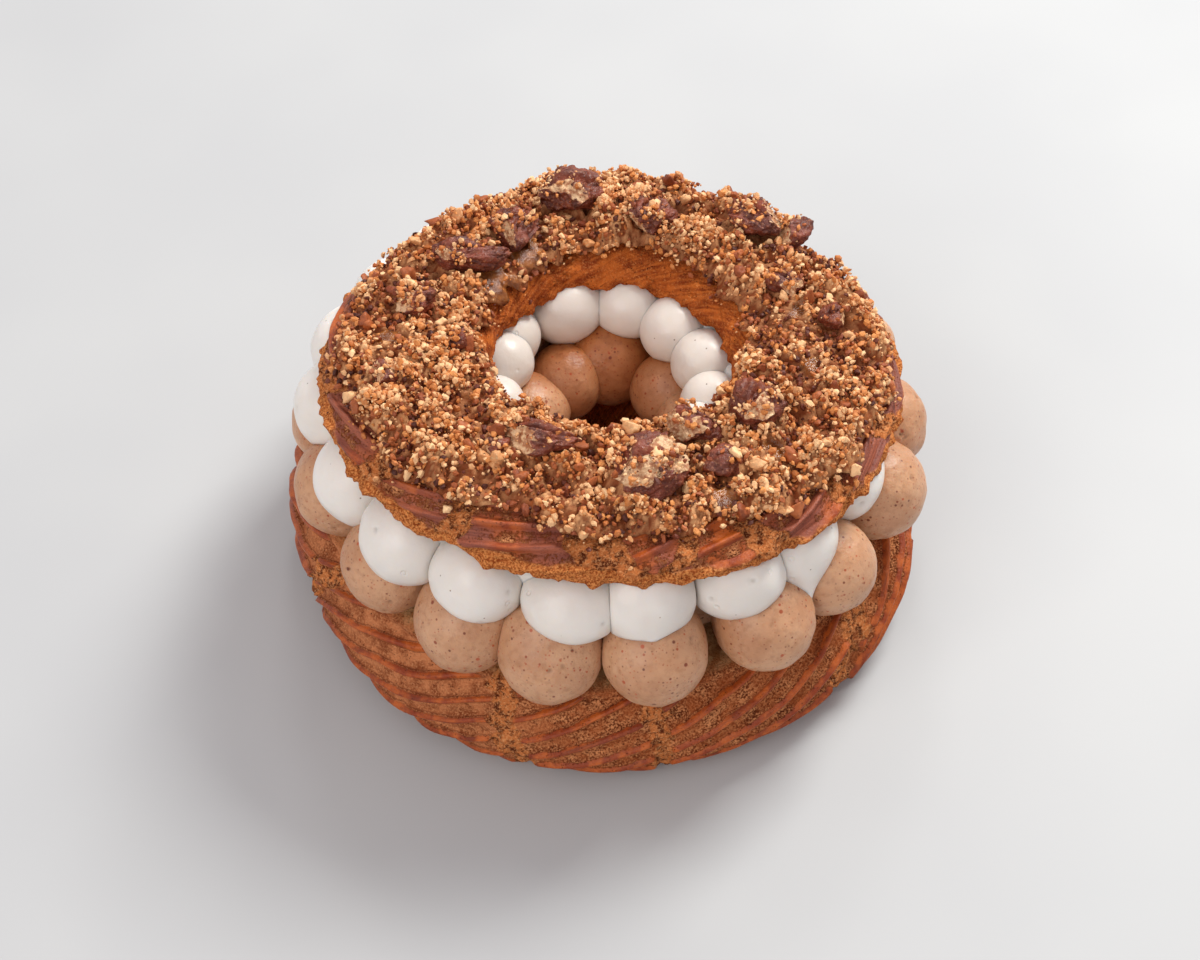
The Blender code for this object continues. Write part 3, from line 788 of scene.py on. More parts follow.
# Direction in degrees, distance from the middle, length, width, thickness in mm, and turn.
PECANS = (
    (105, 27.0, 10.6, 7.6, 5.2, 10), (131, 23.4, 8.3, 6.8, 4.8, 40), (154, 24.6, 12.0, 4.8, 4.4, 15),
    (77, 22.4, 7.6, 6.8, 4.6, 80), (46, 29.9, 10.6, 7.6, 5.0, -35), (-42, 26.6, 9.4, 7.3, 6.2, 70),
    (-63, 23.6, 8.6, 6.4, 4.6, 5), (-82, 30.2, 11.5, 8.6, 5.4, 25), (-114, 27.2, 11.0, 4.8, 4.2, -10),
)
SMALL_PECANS = (
    (176, 29.3, 7.0, 5.3, 3.6, 20), (-166, 23.3, 5.3, 3.0, 3.0, 60), (-158, 34.7, 4.5, 3.6, 2.8, 10),
    (18, 26.5, 5.3, 4.5, 3.4, -20), (3, 32.0, 4.5, 3.8, 2.8, 40), (-61, 31.6, 6.1, 4.5, 3.4, 15),
    (-122, 30.4, 4.5, 3.4, 2.8, 70), (37, 33.5, 6.0, 5.0, 3.8, 30),
)
PECAN_SUNK = 1.1 * MM
PECAN_GROW = 1.10
PALE_PECANS = (0, 5, 6)          # those that show a broad broken face to the front


LUMP_COUNT = 300                # lumps of crumbs stuck together
LUMP_SIZE = 1.7 * MM
LUMP_RISE = 0.85


def any_turns(chance, count):
    """Rotation matrices of any direction."""
    quaternion = chance.normal(size=(count, 4))
    quaternion /= np.linalg.norm(quaternion, axis=1, keepdims=True)
    w, x, y, z = quaternion.T
    return np.array([
        [1 - 2 * (y * y + z * z), 2 * (x * y - w * z), 2 * (x * z + w * y)],
        [2 * (x * y + w * z), 1 - 2 * (x * x + z * z), 2 * (y * z - w * x)],
        [2 * (x * z - w * y), 2 * (y * z + w * x), 1 - 2 * (x * x + y * y)]]).transpose(2, 0, 1)


def crumb_shapes(subdivisions, count, seed, stretch):
    """A few unlike lumps: chopped, with some flat faces."""
    unit, faces = ball(subdivisions)
    dice = random.Random(seed)
    shapes = []
    for number in range(count):
        points = unit.copy()
        drift = np.array([dice.uniform(-50, 50) for _ in range(3)])
        points *= (1 + 0.36 * smooth_noise(unit + drift, 0.7, seed + number))[:, None]
        if subdivisions > 1:
            points *= (1 + 0.22 * smooth_noise(unit + drift, 0.3, seed + number + 50))[:, None]
        for _ in range(4):
            way = np.array([dice.gauss(0, 1) for _ in range(3)])
            way /= np.linalg.norm(way)
            over = np.maximum(points @ way - dice.uniform(0.45, 0.75), 0)
            points -= way * over[:, None]
        points *= np.array((dice.uniform(1.0, stretch), 1.0, dice.uniform(0.6, 1.0)))
        shapes.append(points)
    return np.array(shapes), faces


def lumpy_top(radius, angle, chance, on_pecans):
    """Height of the heap or of the pecan that lies there, and which places to keep."""
    height = heap_height(radius, angle)
    keep = np.ones(len(radius), dtype=bool)
    x = radius * np.cos(angle)
    y = radius * np.sin(angle)
    for number, kind in enumerate(PECANS + SMALL_PECANS):
        degrees, distance, length, width, thickness, turn = kind
        at = math.radians(degrees)
        spin = math.radians(turn)
        dx = x - distance * MM * math.cos(at)
        dy = y - distance * MM * math.sin(at)
        u = (dx * math.cos(spin) + dy * math.sin(spin)) / (length * MM / 2)
        v = (dy * math.cos(spin) - dx * math.sin(spin)) / (width * MM / 2)
        inside = u * u + v * v < 0.92
        low = float(cap_surface(np.array(distance * MM), np.array(at))) + PECAN_SUNK
        top = low + thickness * MM * (0.5 + 0.36 * np.sqrt(np.maximum(0, 1 - u * u - v * v)))
        over = inside & (top > height)
        share = on_pecans * (0.35 if number in PALE_PECANS else 1.0)
        keep &= ~over | (chance.random(len(radius)) < share)
        height = np.where(over, top, height)
    return height, keep


def gathered(angle, radius, chance, share):
    """Places of crumbs, a share of them stuck together in small domed lumps, and their rise."""
    dice = np.random.default_rng(77)
    lump_angle = dice.uniform(-math.pi, math.pi, LUMP_COUNT)
    lump_radius = np.sqrt(dice.uniform(CRUMBLE_IN ** 2, CRUMBLE_OUT ** 2, LUMP_COUNT))
    lump_size = LUMP_SIZE * dice.uniform(0.6, 1.25, LUMP_COUNT)
    picked = chance.integers(0, LUMP_COUNT, len(angle))
    stuck = chance.random(len(angle)) < share
    aside = np.sqrt(chance.random(len(angle)))
    way = chance.uniform(-math.pi, math.pi, len(angle))
    reach = lump_size[picked] * aside
    x = np.where(stuck, lump_radius[picked] * np.cos(lump_angle[picked]) + reach * np.cos(way),
                 radius * np.cos(angle))
    y = np.where(stuck, lump_radius[picked] * np.sin(lump_angle[picked]) + reach * np.sin(way),
                 radius * np.sin(angle))
    dome = lump_size[picked] * np.sqrt(np.maximum(0, 1 - aside ** 2))
    rise = np.where(stuck, LUMP_RISE * dome * (0.45 + 0.55 * chance.random(len(angle))), 0.0)
    return np.arctan2(y, x), np.hypot(x, y), rise


def scatter(name, material, count, size, subdivisions, seed, **manner):
    """Crumbs of one kind, lying on the heap, as one piece."""
    low, high = size
    shapes, faces = crumb_shapes(subdivisions, 16, seed, manner.get("stretch", 1.4))
    chance = np.random.default_rng(seed)
    tries = count * 7
    angle = chance.uniform(-math.pi, math.pi, tries)
    inner = CRUMBLE_IN - 2.5 * MM
    outer = CRUMBLE_OUT + 3.5 * MM
    radius = np.sqrt(chance.uniform(inner ** 2, outer ** 2, tries))
    angle, radius, rise = gathered(angle, radius, chance, manner.get("gathered", 0.0))
    spread = spread_of(CAP, angle)
    on_cap = radius < (CAP["middle"] + 0.97 * CAP["outer_half"]) * spread
    share = crumble_share(radius, angle)
    stray = chance.random(tries) < manner.get("outside", 0.0)
    on_cap &= radius > (CAP["middle"] - CAP["inner_half"] - 0.6 * MM) * spread
    keep = ((share > chance.uniform(0.02, 0.40, tries)) | stray) & on_cap
    keep &= 0.92 * syrup_share(radius, angle) < chance.random(tries)
    flat = np.stack([radius * np.cos(angle), radius * np.sin(angle), 0 * radius], axis=-1)
    # Crumbs gathered onto the tops of the clumps (on_clumps above 0) or into the hollows (below 0); with light
    # crumbs on top and dark ones below, this is painted light and shade.
    crowd = manner.get("on_clumps", 0.0)
    keep &= 0.5 + 0.5 * crowd * clumps(flat) * 1.6 > chance.random(tries) * (0.4 + 0.6 * abs(crowd))
    height, on_top = lumpy_top(radius, angle, chance, manner.get("on_pecans", 0.35))
    keep &= on_top
    chosen = np.flatnonzero(keep)[:count]
    number = len(chosen)
    half = 0.5 * (low + (high - low) * chance.random(number) ** manner.get("fine", 2.2))
    turns = any_turns(chance, number)
    kinds = chance.integers(0, len(shapes), number)
    points = np.einsum("nij,nkj->nki", turns, shapes[kinds]) * half[:, None, None]
    lift = half * (manner.get("lift", 0.35) + manner.get("loose", 0.5) * chance.random(number))
    lift = lift + rise[chosen]
    middle = np.stack([flat[chosen, 0], flat[chosen, 1], height[chosen] + lift], axis=-1)
    points = (points + middle[:, None, :]).reshape(-1, 3)
    corners = shapes.shape[1]
    all_faces = (faces[None] + corners * np.arange(number)[:, None, None]).reshape(-1, 3)
    mesh = bpy.data.meshes.new(name)
    mesh.from_pydata(tilted(points).tolist(), [], all_faces.tolist())
    if subdivisions > 1:
        mesh.shade_smooth()
    set_attribute(mesh, "tint", np.repeat(chance.random(number), corners))
    piece = new_object(name, mesh)
    finish_piece(piece, material, "nut_crumble")
    return piece


# ---------------------------------------------------------------- pecans

def pecan_mesh(name, number, kind, subdivisions):
    """A broken pecan: lobes with a groove between, wrinkled skin and pale broken faces."""
    degrees, distance, length, width, thickness, turn = kind
    unit, faces = ball(subdivisions)
    dice = random.Random(100 + number)
    drift = np.array((number * 3.1, 3.0, 0.0))
    points = unit * 0.5
    points *= (1 + 0.30 * smooth_noise(points + drift, 0.36, 5))[:, None]
    groove = np.exp(-((points[:, 1] + 0.03 * np.sin(points[:, 0] * 9)) / 0.07) ** 2)
    side_groove = np.exp(-((np.abs(points[:, 1]) - 0.26) / 0.05) ** 2)
    points[:, 2] -= (0.20 * groove + 0.08 * side_groove) * np.maximum(0.0, points[:, 2]) * 2
    wrinkle = smooth_noise(points * np.array((1.0, 2.6, 2.0)) + drift, 0.16, 9)
    fine_wrinkle = rough_noise(points + drift, 0.09, 2, 19)
    points *= (1 - 0.15 * np.abs(wrinkle) + 0.055 * fine_wrinkle)[:, None]
    broken = np.zeros(len(points))
    spin = math.radians(turn)
    for face in range(4):
        way = np.array((dice.choice((-1, 1)) * dice.uniform(0.5, 1.0), dice.uniform(-0.8, 0.8),
                        dice.uniform(-0.35, 0.75)))
        front = face == 3 and number in PALE_PECANS
        if front:
            way = np.array((-0.25 * math.cos(spin) - math.sin(spin),
                            0.25 * math.sin(spin) - math.cos(spin), 0.75))
        way /= np.linalg.norm(way)
        ragged = 0.035 * rough_noise(points + drift, 0.1, 3, 15)
        over = points @ way - dice.uniform(0.27, 0.40) + ragged
        pale = 1.0 if dice.random() < 0.45 or front else 0.0
        broken = np.maximum(broken, pale * fade(over, 0.0, 0.02))
        points -= way * np.maximum(over, 0)[:, None]
    points *= np.array((length, width, thickness)) * MM * PECAN_GROW
    tip = 0.25 * math.sin(number * 1.9)
    x = points[:, 0] * math.cos(tip) - points[:, 2] * math.sin(tip)
    z = points[:, 0] * math.sin(tip) + points[:, 2] * math.cos(tip)
    y = points[:, 1]
    points = np.stack([x * math.cos(spin) - y * math.sin(spin),
                       x * math.sin(spin) + y * math.cos(spin), z], axis=-1)
    angle = math.radians(degrees)
    height = float(cap_surface(np.array(distance * MM), np.array(angle)))
    height += PECAN_SUNK + thickness * MM / 2
    points += np.array((distance * MM * math.cos(angle), distance * MM * math.sin(angle), height))
    mesh = bpy.data.meshes.new(name)
    mesh.from_pydata(tilted(points).tolist(), [], faces.tolist())
    mesh.shade_smooth()
    set_attribute(mesh, "broken", broken)
    set_attribute(mesh, "tint", np.full(len(points), dice.random()))
    return new_object(name, mesh)


def make_pecans(material):
    for number, kind in enumerate(PECANS):
        piece = pecan_mesh("nut_large_%02d" % (number + 1), number, kind, 5)
        finish_piece(piece, material, "pecan_skin", "pecan_%02d" % (number + 1))
    for number, kind in enumerate(SMALL_PECANS):
        piece = pecan_mesh("nut_small_%02d" % (number + 1), number + 20, kind, 4)
        finish_piece(piece, material, "pecan_skin")


# ---------------------------------------------------------------- materials

class Graph:
    """Short words for building a node material."""

    def __init__(self, name):
        self.material = bpy.data.materials.new(name)
        self.material.use_nodes = True
        self.tree = self.material.node_tree
        self.tree.nodes.clear()
        self.shader = self.tree.nodes.new("ShaderNodeBsdfPrincipled")
        out = self.tree.nodes.new("ShaderNodeOutputMaterial")
        self.tree.links.new(self.shader.outputs[0], out.inputs[0])
        self.place = self.tree.nodes.new("ShaderNodeTexCoord").outputs["Object"]
        self.height = None

    def put(self, node, name, value):
        socket = node.inputs[name]
        if isinstance(value, bpy.types.NodeSocket):
            self.tree.links.new(value, socket)
        else:
            socket.default_value = value

    def attribute(self, name):
        node = self.tree.nodes.new("ShaderNodeAttribute")
        node.attribute_name = name
        return node.outputs["Fac"]

    def noise(self, size, detail=3.0, rough=0.55, where=None, warp=0.0):
        node = self.tree.nodes.new("ShaderNodeTexNoise")
        self.put(node, "Vector", where or self.place)
        node.inputs["Scale"].default_value = 1 / size
        node.inputs["Detail"].default_value = detail
        node.inputs["Roughness"].default_value = rough
        node.inputs["Distortion"].default_value = warp
        return node.outputs["Fac"]

    def cells(self, size, where=None, feature="F1", jitter=1.0):
        node = self.tree.nodes.new("ShaderNodeTexVoronoi")
        node.feature = feature
        self.put(node, "Vector", where or self.place)
        node.inputs["Scale"].default_value = 1 / size
        node.inputs["Randomness"].default_value = jitter
        return node

    def stretched(self, scale, shift=(0, 0, 0)):
        node = self.tree.nodes.new("ShaderNodeMapping")
        self.put(node, "Vector", self.place)
        node.inputs["Scale"].default_value = scale
        node.inputs["Location"].default_value = shift
        return node.outputs[0]

    def ramp(self, value, low, high, start=0.0, end=1.0):
        node = self.tree.nodes.new("ShaderNodeMapRange")
        node.interpolation_type = "SMOOTHSTEP"
        self.put(node, "Value", value)
        node.inputs["From Min"].default_value = low
        node.inputs["From Max"].default_value = high
        node.inputs["To Min"].default_value = start
        node.inputs["To Max"].default_value = end
        return node.outputs[0]

    def math(self, operation, a, b=0.0):
        node = self.tree.nodes.new("ShaderNodeMath")
        node.operation = operation
        for index, value in ((0, a), (1, b)):
            if isinstance(value, bpy.types.NodeSocket):
                self.tree.links.new(value, node.inputs[index])
            else:
                node.inputs[index].default_value = value
        return node.outputs[0]

    def mix(self, share, a, b, blend="MIX"):
        node = self.tree.nodes.new("ShaderNodeMix")
        node.data_type = "RGBA"
        node.blend_type = blend
        for index, value in ((0, share), (6, a), (7, b)):
            if isinstance(value, bpy.types.NodeSocket):
                self.tree.links.new(value, node.inputs[index])
            elif index == 0:
                node.inputs[0].default_value = value
            else:
                node.inputs[index].default_value = (*value, 1.0)
        return node.outputs[2]

    def vector(self, x, y, z):
        node = self.tree.nodes.new("ShaderNodeCombineXYZ")
        for index, value in enumerate((x, y, z)):
            if isinstance(value, bpy.types.NodeSocket):
                self.tree.links.new(value, node.inputs[index])
            else:
                node.inputs[index].default_value = value
        return node.outputs[0]

    def bump(self, height, distance, strength=1.0):
        node = self.tree.nodes.new("ShaderNodeBump")
        node.inputs["Strength"].default_value = strength
        node.inputs["Distance"].default_value = distance
        self.put(node, "Height", height)
        if self.height is not None:
            self.tree.links.new(self.height, node.inputs["Normal"])
        self.height = node.outputs[0]
        self.tree.links.new(self.height, self.shader.inputs["Normal"])

    def set(self, name, value):
        if isinstance(value, tuple) and len(value) == 3 and name != "Subsurface Radius":
            value = (*value, 1.0)
        self.put(self.shader, name, value)


def choux_material():
    g = Graph("browned_choux")
    ridge = g.attribute("ridge")
    crack = g.attribute("crack")
    rim = g.attribute("rim")
    flow = g.vector(g.math("MULTIPLY", g.attribute("along"), 0.22), g.attribute("across"), 0.0)

    broad = g.noise(11 * MM, 3)
    middle = g.noise(2.6 * MM, 4, 0.6)
    fine = g.noise(0.32 * MM, 4, 0.62)
    streak = g.noise(0.9 * MM, 4, 0.6, flow)

    # Porous bands: pale flecks and dark pinholes on tan.  Smoother and mottled on the left.
    grain = g.ramp(g.math("ADD", g.math("MULTIPLY", fine, 0.75), g.math("MULTIPLY", streak, 0.25)),
                   0.42, 0.58)
    tan = g.mix(grain, (0.135, 0.028, 0.007), (0.76, 0.310, 0.125))
    tan = g.mix(g.ramp(middle, 0.35, 0.65, 0.0, 0.7), tan, (0.42, 0.100, 0.026))
    smooth = g.mix(g.ramp(middle, 0.38, 0.62), (0.29, 0.072, 0.023), (0.68, 0.255, 0.105))
    smooth = g.mix(g.ramp(fine, 0.50, 0.68, 0.0, 0.5), smooth, (0.74, 0.36, 0.170))
    tan = g.mix(g.math("MULTIPLY", g.attribute("mottled"), 0.75), tan, smooth)

    # Smooth crests: rust where thin, red-brown on the broad plates of the cap.
    rust = g.mix(g.ramp(middle, 0.35, 0.65), (0.27, 0.040, 0.007), (0.52, 0.115, 0.018))
    rust = g.mix(g.ramp(streak, 0.50, 0.66, 0.0, 0.6), rust, (0.150, 0.025, 0.008))
    plate = g.attribute("plate")
    brown = g.mix(g.ramp(streak, 0.35, 0.65), (0.21, 0.046, 0.024), (0.38, 0.105, 0.054))
    dots = g.ramp(g.cells(0.34 * MM).outputs["Distance"], 0.15, 0.35, 0.55, 0.0)
    brown = g.mix(dots, brown, (0.10, 0.020, 0.010))
    crust = g.mix(g.math("MULTIPLY", plate, g.ramp(broad, 0.32, 0.52)), rust, brown)
    wavering = g.math("MULTIPLY", g.math("SUBTRACT", middle, 0.5), 0.75)
    ruffled = g.math("MULTIPLY", g.math("SUBTRACT", fine, 0.5), 0.60)
    reach = g.math("ADD", ridge, g.math("ADD", wavering, ruffled))
    reach = g.math("ADD", reach, g.math("MULTIPLY", plate, 0.55))
    reach = g.math("ADD", reach, g.ramp(broad, 0.50, 0.72, 0.0, 0.22))
    crest_share = g.ramp(reach, 0.48, 0.60)
    crest_share = g.math("MULTIPLY", crest_share, g.ramp(g.math("MAXIMUM", crack, rim), 0.2, 0.6, 1.0, 0.0))
    colour = g.mix(crest_share, tan, crust)
    # A thin dark line along the foot of each crest, stronger on the mottled part: painted shade in the crease where
    # the crest meets the porous band.
    crest_foot_shade = g.math("MULTIPLY", g.ramp(reach, 0.22, 0.36), g.ramp(reach, 0.36, 0.50, 1.0, 0.0))
    crest_foot_shade = g.math("MULTIPLY", crest_foot_shade, g.ramp(g.attribute("mottled"), 0.0, 1.0, 0.38, 0.70))
    colour = g.mix(crest_foot_shade, colour, (0.13, 0.022, 0.007))

    # Torn places: golden fibres over dark pits.
    fibres = g.noise(1.1 * MM, 5, 0.65)
    torn = g.mix(g.ramp(fibres, 0.40, 0.56), (0.100, 0.018, 0.004), (0.64, 0.200, 0.056))
    torn = g.mix(g.ramp(fine, 0.48, 0.64, 0.0, 0.65), torn, (0.82, 0.38, 0.155))
    colour = g.mix(g.ramp(g.math("MAXIMUM", crack, rim), 0.25, 0.6, 0.0, 0.92), colour, torn)
    golden = g.mix(g.ramp(fine, 0.38, 0.60), (0.34, 0.062, 0.010), (0.82, 0.300, 0.080))
    colour = g.mix(g.math("MULTIPLY", g.ramp(rim, 0.3, 0.8), 0.75), colour, golden)
    hole = g.mix(g.ramp(g.math("ADD", g.math("MULTIPLY", middle, 0.5), g.math("MULTIPLY", streak, 0.5)),
                        0.40, 0.60), (0.27, 0.042, 0.006), (0.64, 0.155, 0.024))
    hole = g.mix(g.ramp(fine, 0.54, 0.66, 0.0, 0.45), hole, (0.82, 0.300, 0.080))
    colour = g.mix(g.math("MULTIPLY", g.attribute("hole"), 0.85), colour, hole)

    pinholes = g.cells(0.46 * MM).outputs["Distance"]
    pore = g.math("MULTIPLY", g.ramp(pinholes, 0.10, 0.26, 1.0, 0.0), g.ramp(g.noise(1.4 * MM, 2), 0.48, 0.6))
    colour = g.mix(g.math("MULTIPLY", pore, g.ramp(crest_share, 0.0, 1.0, 0.70, 0.40)), colour,
                   (0.075, 0.014, 0.004))
    crumb = g.mix(g.ramp(g.noise(1.6 * MM, 4), 0.4, 0.6), (0.40, 0.17, 0.055), (0.68, 0.42, 0.19))
    colour = g.mix(g.attribute("sawn"), colour, crumb)
    g.set("Base Color", colour)
    g.set("Roughness", g.ramp(crest_share, 0.0, 1.0, 0.75, 0.40))
    g.set("Specular IOR Level", g.ramp(crest_share, 0.0, 1.0, 0.10, 0.32))
    relief = g.math("ADD", g.math("MULTIPLY", fine, 0.6), g.math("MULTIPLY", streak, 0.4))
    relief = g.math("MULTIPLY", relief, g.ramp(crest_share, 0.0, 1.0, 1.0, 0.35))
    g.bump(relief, 0.75 * MM, 0.9)
    g.bump(g.math("MULTIPLY", pore, -1.0), 0.30 * MM, 0.8)
    return g.material


def cream_specks(g, size, share, low=0.10, high=0.20, seed=0.0):
    """Where small specks lie in a cream, and a random number for each of them."""
    where = g.stretched((1, 1, 1), (seed, seed * 0.7, seed * 0.3))
    node = g.cells(size, where)
    chance = g.tree.nodes.new("ShaderNodeSeparateColor")
    g.tree.links.new(node.outputs["Color"], chance.inputs[0])
    picked = g.math("LESS_THAN", chance.outputs[0], share)
    near = g.ramp(node.outputs["Distance"], low, high, 1.0, 0.0)
    return g.math("MULTIPLY", near, picked), chance.outputs[1]


def nut_cream_material():
    g = Graph("nut_cream")
    broad = g.noise(7 * MM, 3)
    colour = g.mix(g.ramp(broad, 0.35, 0.65), (0.50, 0.245, 0.125), (0.60, 0.335, 0.190))
    colour = g.mix(g.ramp(g.noise(1.1 * MM, 4, 0.6), 0.45, 0.75, 0.0, 0.5), colour, (0.36, 0.155, 0.070))
    for size, share, low, high, seed, strength in (
            (0.95 * MM, 0.34, 0.13, 0.27, 0.011, 0.85), (2.2 * MM, 0.50, 0.09, 0.17, 0.023, 0.9),
            (0.50 * MM, 0.35, 0.14, 0.36, 0.037, 0.55)):
        speck, chance = cream_specks(g, size, share, low, high, seed)
        hue = g.mix(g.ramp(chance, 0.0, 0.8), (0.13, 0.024, 0.010), (0.46, 0.075, 0.016))
        colour = g.mix(g.math("MULTIPLY", speck, strength), colour, hue)
    pit = g.attribute("pit")
    # The air holes are darkened: painted shade in the pits.
    colour = g.mix(g.math("MULTIPLY", pit, 0.55), colour, (0.20, 0.075, 0.032))
    # The inner bulbs at the back of the hole are multiplied darker and warmer: painted shade.
    hole_shade = g.mix(g.attribute("inner"), (1.0, 1.0, 1.0), (0.70, 0.42, 0.21))
    colour = g.mix(1.0, colour, hole_shade, "MULTIPLY")
    g.set("Base Color", colour)
    g.set("Roughness", 0.40)
    g.set("Specular IOR Level", 0.42)
    g.set("Subsurface Weight", 0.4)
    g.set("Subsurface Radius", (1.0, 0.55, 0.30))
    g.set("Subsurface Scale", 0.5 * MM)
    g.bump(g.noise(1.3 * MM, 4, 0.6), 0.26 * MM, 0.8)
    g.bump(g.noise(0.4 * MM, 3, 0.6), 0.06 * MM, 0.7)
    return g.material


def vanilla_cream_material():
    g = Graph("vanilla_cream")
    broad = g.noise(8 * MM, 2)
    colour = g.mix(g.ramp(broad, 0.35, 0.65), (0.765, 0.716, 0.660), (0.805, 0.757, 0.705))
    speck, chance = cream_specks(g, 1.5 * MM, 0.14, 0.05, 0.11, 0.013)
    hue = g.mix(chance, (0.05, 0.03, 0.02), (0.30, 0.14, 0.05))
    colour = g.mix(g.math("MULTIPLY", speck, 0.85), colour, hue)
    pit = g.attribute("pit")
    # The air holes are darkened: painted shade in the pits.
    colour = g.mix(g.math("MULTIPLY", pit, 0.35), colour, (0.42, 0.33, 0.25))
    # The inner bulbs, facing the hole, are multiplied a little darker: painted shade.
    hole_shade = g.mix(g.attribute("inner"), (1.0, 1.0, 1.0), (0.93, 0.90, 0.88))
    colour = g.mix(1.0, colour, hole_shade, "MULTIPLY")
    dents, _ = cream_specks(g, 3.6 * MM, 0.45, 0.10, 0.16, 0.051)
    rings = g.math("SUBTRACT", dents, g.math("MULTIPLY", cream_specks(g, 3.6 * MM, 0.45, 0.03, 0.10, 0.051)[0], 0.7))
    g.bump(g.math("MULTIPLY", rings, -1.0), 0.18 * MM, 0.6)
    g.set("Base Color", colour)
    g.set("Roughness", 0.34)
    g.set("Specular IOR Level", 0.45)
    g.set("Subsurface Weight", 0.6)
    g.set("Subsurface Radius", (1.0, 0.80, 0.62))
    g.set("Subsurface Scale", 0.9 * MM)
    g.bump(g.noise(1.9 * MM, 3, 0.55), 0.16 * MM, 0.7)
    return g.material


def crumb_material(name, dark, light, rough=0.55):
    g = Graph(name)
    tint = g.attribute("tint")
    colour = g.mix(tint, dark, light)
    colour = g.mix(g.ramp(g.noise(0.6 * MM, 4, 0.6), 0.48, 0.70, 0.0, 0.55), colour,
                   tuple(0.4 * value for value in dark))
    colour = g.mix(g.ramp(g.noise(0.3 * MM, 3, 0.6), 0.50, 0.74, 0.0, 0.45), colour,
                   tuple(min(1.0, 1.25 * value) for value in light))
    g.set("Base Color", colour)
    g.set("Roughness", rough)
    g.set("Specular IOR Level", 0.38)
    g.bump(g.noise(0.5 * MM, 4, 0.6), 0.15 * MM, 0.8)
    return g.material


def core_material():
    g = Graph("crumble_core")
    tint = g.attribute("tint")
    grain_gap_shade = g.attribute("grain_gap_shade")
    grain = g.mix(g.ramp(tint, 0.15, 0.8), (0.26, 0.065, 0.018), (0.70, 0.36, 0.160))
    grain = g.mix(g.ramp(g.noise(0.4 * MM, 3, 0.6), 0.5, 0.7, 0.0, 0.5), grain, (0.16, 0.045, 0.015))
    patch = g.noise(6 * MM, 3)
    low = g.attribute("low")
    # Darker in the gaps between the grains: painted shade.
    colour = g.mix(g.math("MULTIPLY", grain_gap_shade, 0.65), grain, (0.125, 0.022, 0.005))
    # Darker and redder in the hollows between the clumps: painted shade.
    colour = g.mix(g.math("MULTIPLY", low, 0.62), colour, (0.205, 0.044, 0.010))
    colour = g.mix(g.ramp(patch, 0.54, 0.66, 0.0, 0.45), colour, (0.33, 0.088, 0.018))
    syrup = g.attribute("syrup")
    amber = g.mix(g.ramp(g.noise(1.5 * MM, 3), 0.35, 0.65), (0.150, 0.040, 0.008), (0.34, 0.115, 0.026))
    colour = g.mix(syrup, colour, amber)
    g.set("Base Color", colour)
    g.set("Roughness", g.math("MULTIPLY", g.ramp(patch, 0.54, 0.64, 0.70, 0.42),
                              g.ramp(syrup, 0.2, 0.9, 1.0, 0.09)))
    g.bump(g.math("MULTIPLY", g.noise(2.6 * MM, 2), syrup), 0.40 * MM, 0.7)
    g.set("Specular IOR Level", g.ramp(syrup, 0.2, 0.9, 0.18, 0.55))
    g.bump(g.noise(0.45 * MM, 4, 0.62), 0.25 * MM, 0.8)
    return g.material


def pecan_material():
    g = Graph("pecan")
    tint = g.attribute("tint")
    broken = g.attribute("broken")
    skin_colour = g.mix(g.ramp(g.noise(2.2 * MM, 4, 0.6), 0.35, 0.68), (0.080, 0.015, 0.009), (0.250, 0.050, 0.022))
    skin_colour = g.mix(g.math("MULTIPLY", tint, 0.4), skin_colour, (0.21, 0.045, 0.018))
    flecks = g.ramp(g.noise(0.45 * MM, 4, 0.65), 0.52, 0.66, 0.0, 0.55)
    skin_colour = g.mix(flecks, skin_colour, (0.42, 0.165, 0.080))
    flesh = g.mix(g.ramp(g.noise(0.9 * MM, 4, 0.6), 0.40, 0.60), (0.42, 0.165, 0.070), (0.80, 0.52, 0.29))
    g.set("Base Color", g.mix(g.ramp(broken, 0.3, 0.8), skin_colour, flesh))
    g.set("Roughness", g.ramp(g.noise(1.2 * MM, 3), 0.3, 0.7, 0.30, 0.50))
    g.set("Specular IOR Level", 0.45)
    g.bump(g.noise(1.0 * MM, 4, 0.6), 0.45 * MM, 0.9)
    g.bump(g.noise(0.35 * MM, 3, 0.6), 0.16 * MM, 0.9)
    return g.material


def floor_material():
    g = Graph("pale_floor")
    colour = g.mix(g.ramp(g.noise(60 * MM, 2), 0.3, 0.7), (0.468, 0.470, 0.476), (0.492, 0.494, 0.496))
    g.set("Base Color", colour)
    g.set("Roughness", 0.55)
    g.set("Specular IOR Level", 0.25)
    return g.material


# ---------------------------------------------------------------- floor, light, camera

LOOK_AT = Vector((0, 0, 27 * MM))
CAMERA_ELEVATION = math.radians(50)
CAMERA_DISTANCE = 315 * MM
CAMERA_LENS = 62.0
CAMERA_SHIFT_X = -0.0093
CAMERA_SHIFT_Y = -0.050


def make_floor():
    bpy.ops.mesh.primitive_plane_add(size=6.0)
    floor = bpy.context.object
    floor.name = "floor"
    floor.data.materials.append(floor_material())


def aim(obj, target):
    obj.rotation_euler = (target - obj.location).to_track_quat("-Z", "Y").to_euler()


def make_light(name, place, size, watts, colour):
    data = bpy.data.lights.new(name, "AREA")
    data.shape = "RECTANGLE"
    data.size, data.size_y = size
    data.energy = watts
    data.color = colour
    lamp = bpy.data.objects.new(name, data)
    bpy.context.scene.collection.objects.link(lamp)
    lamp.location = place
    aim(lamp, LOOK_AT)


def make_lights():
    world = bpy.data.worlds.new("studio")
    bpy.context.scene.world = world
    world.use_nodes = True
    back = world.node_tree.nodes["Background"]
    back.inputs["Color"].default_value = (1.0, 0.955, 0.985, 1.0)
    back.inputs["Strength"].default_value = 0.60
    make_light("window", (0.32, 0.34, 0.58), (0.26, 0.26), 5.5, (0.98, 1.0, 0.97))
    make_light("glint", (-0.02, 0.50, 0.62), (0.12, 0.12), 0.5, (1.0, 1.0, 1.0))
    make_light("front_fill", (-0.42, -0.48, 0.55), (0.5, 0.5), 2.5, (1.0, 0.985, 0.96))


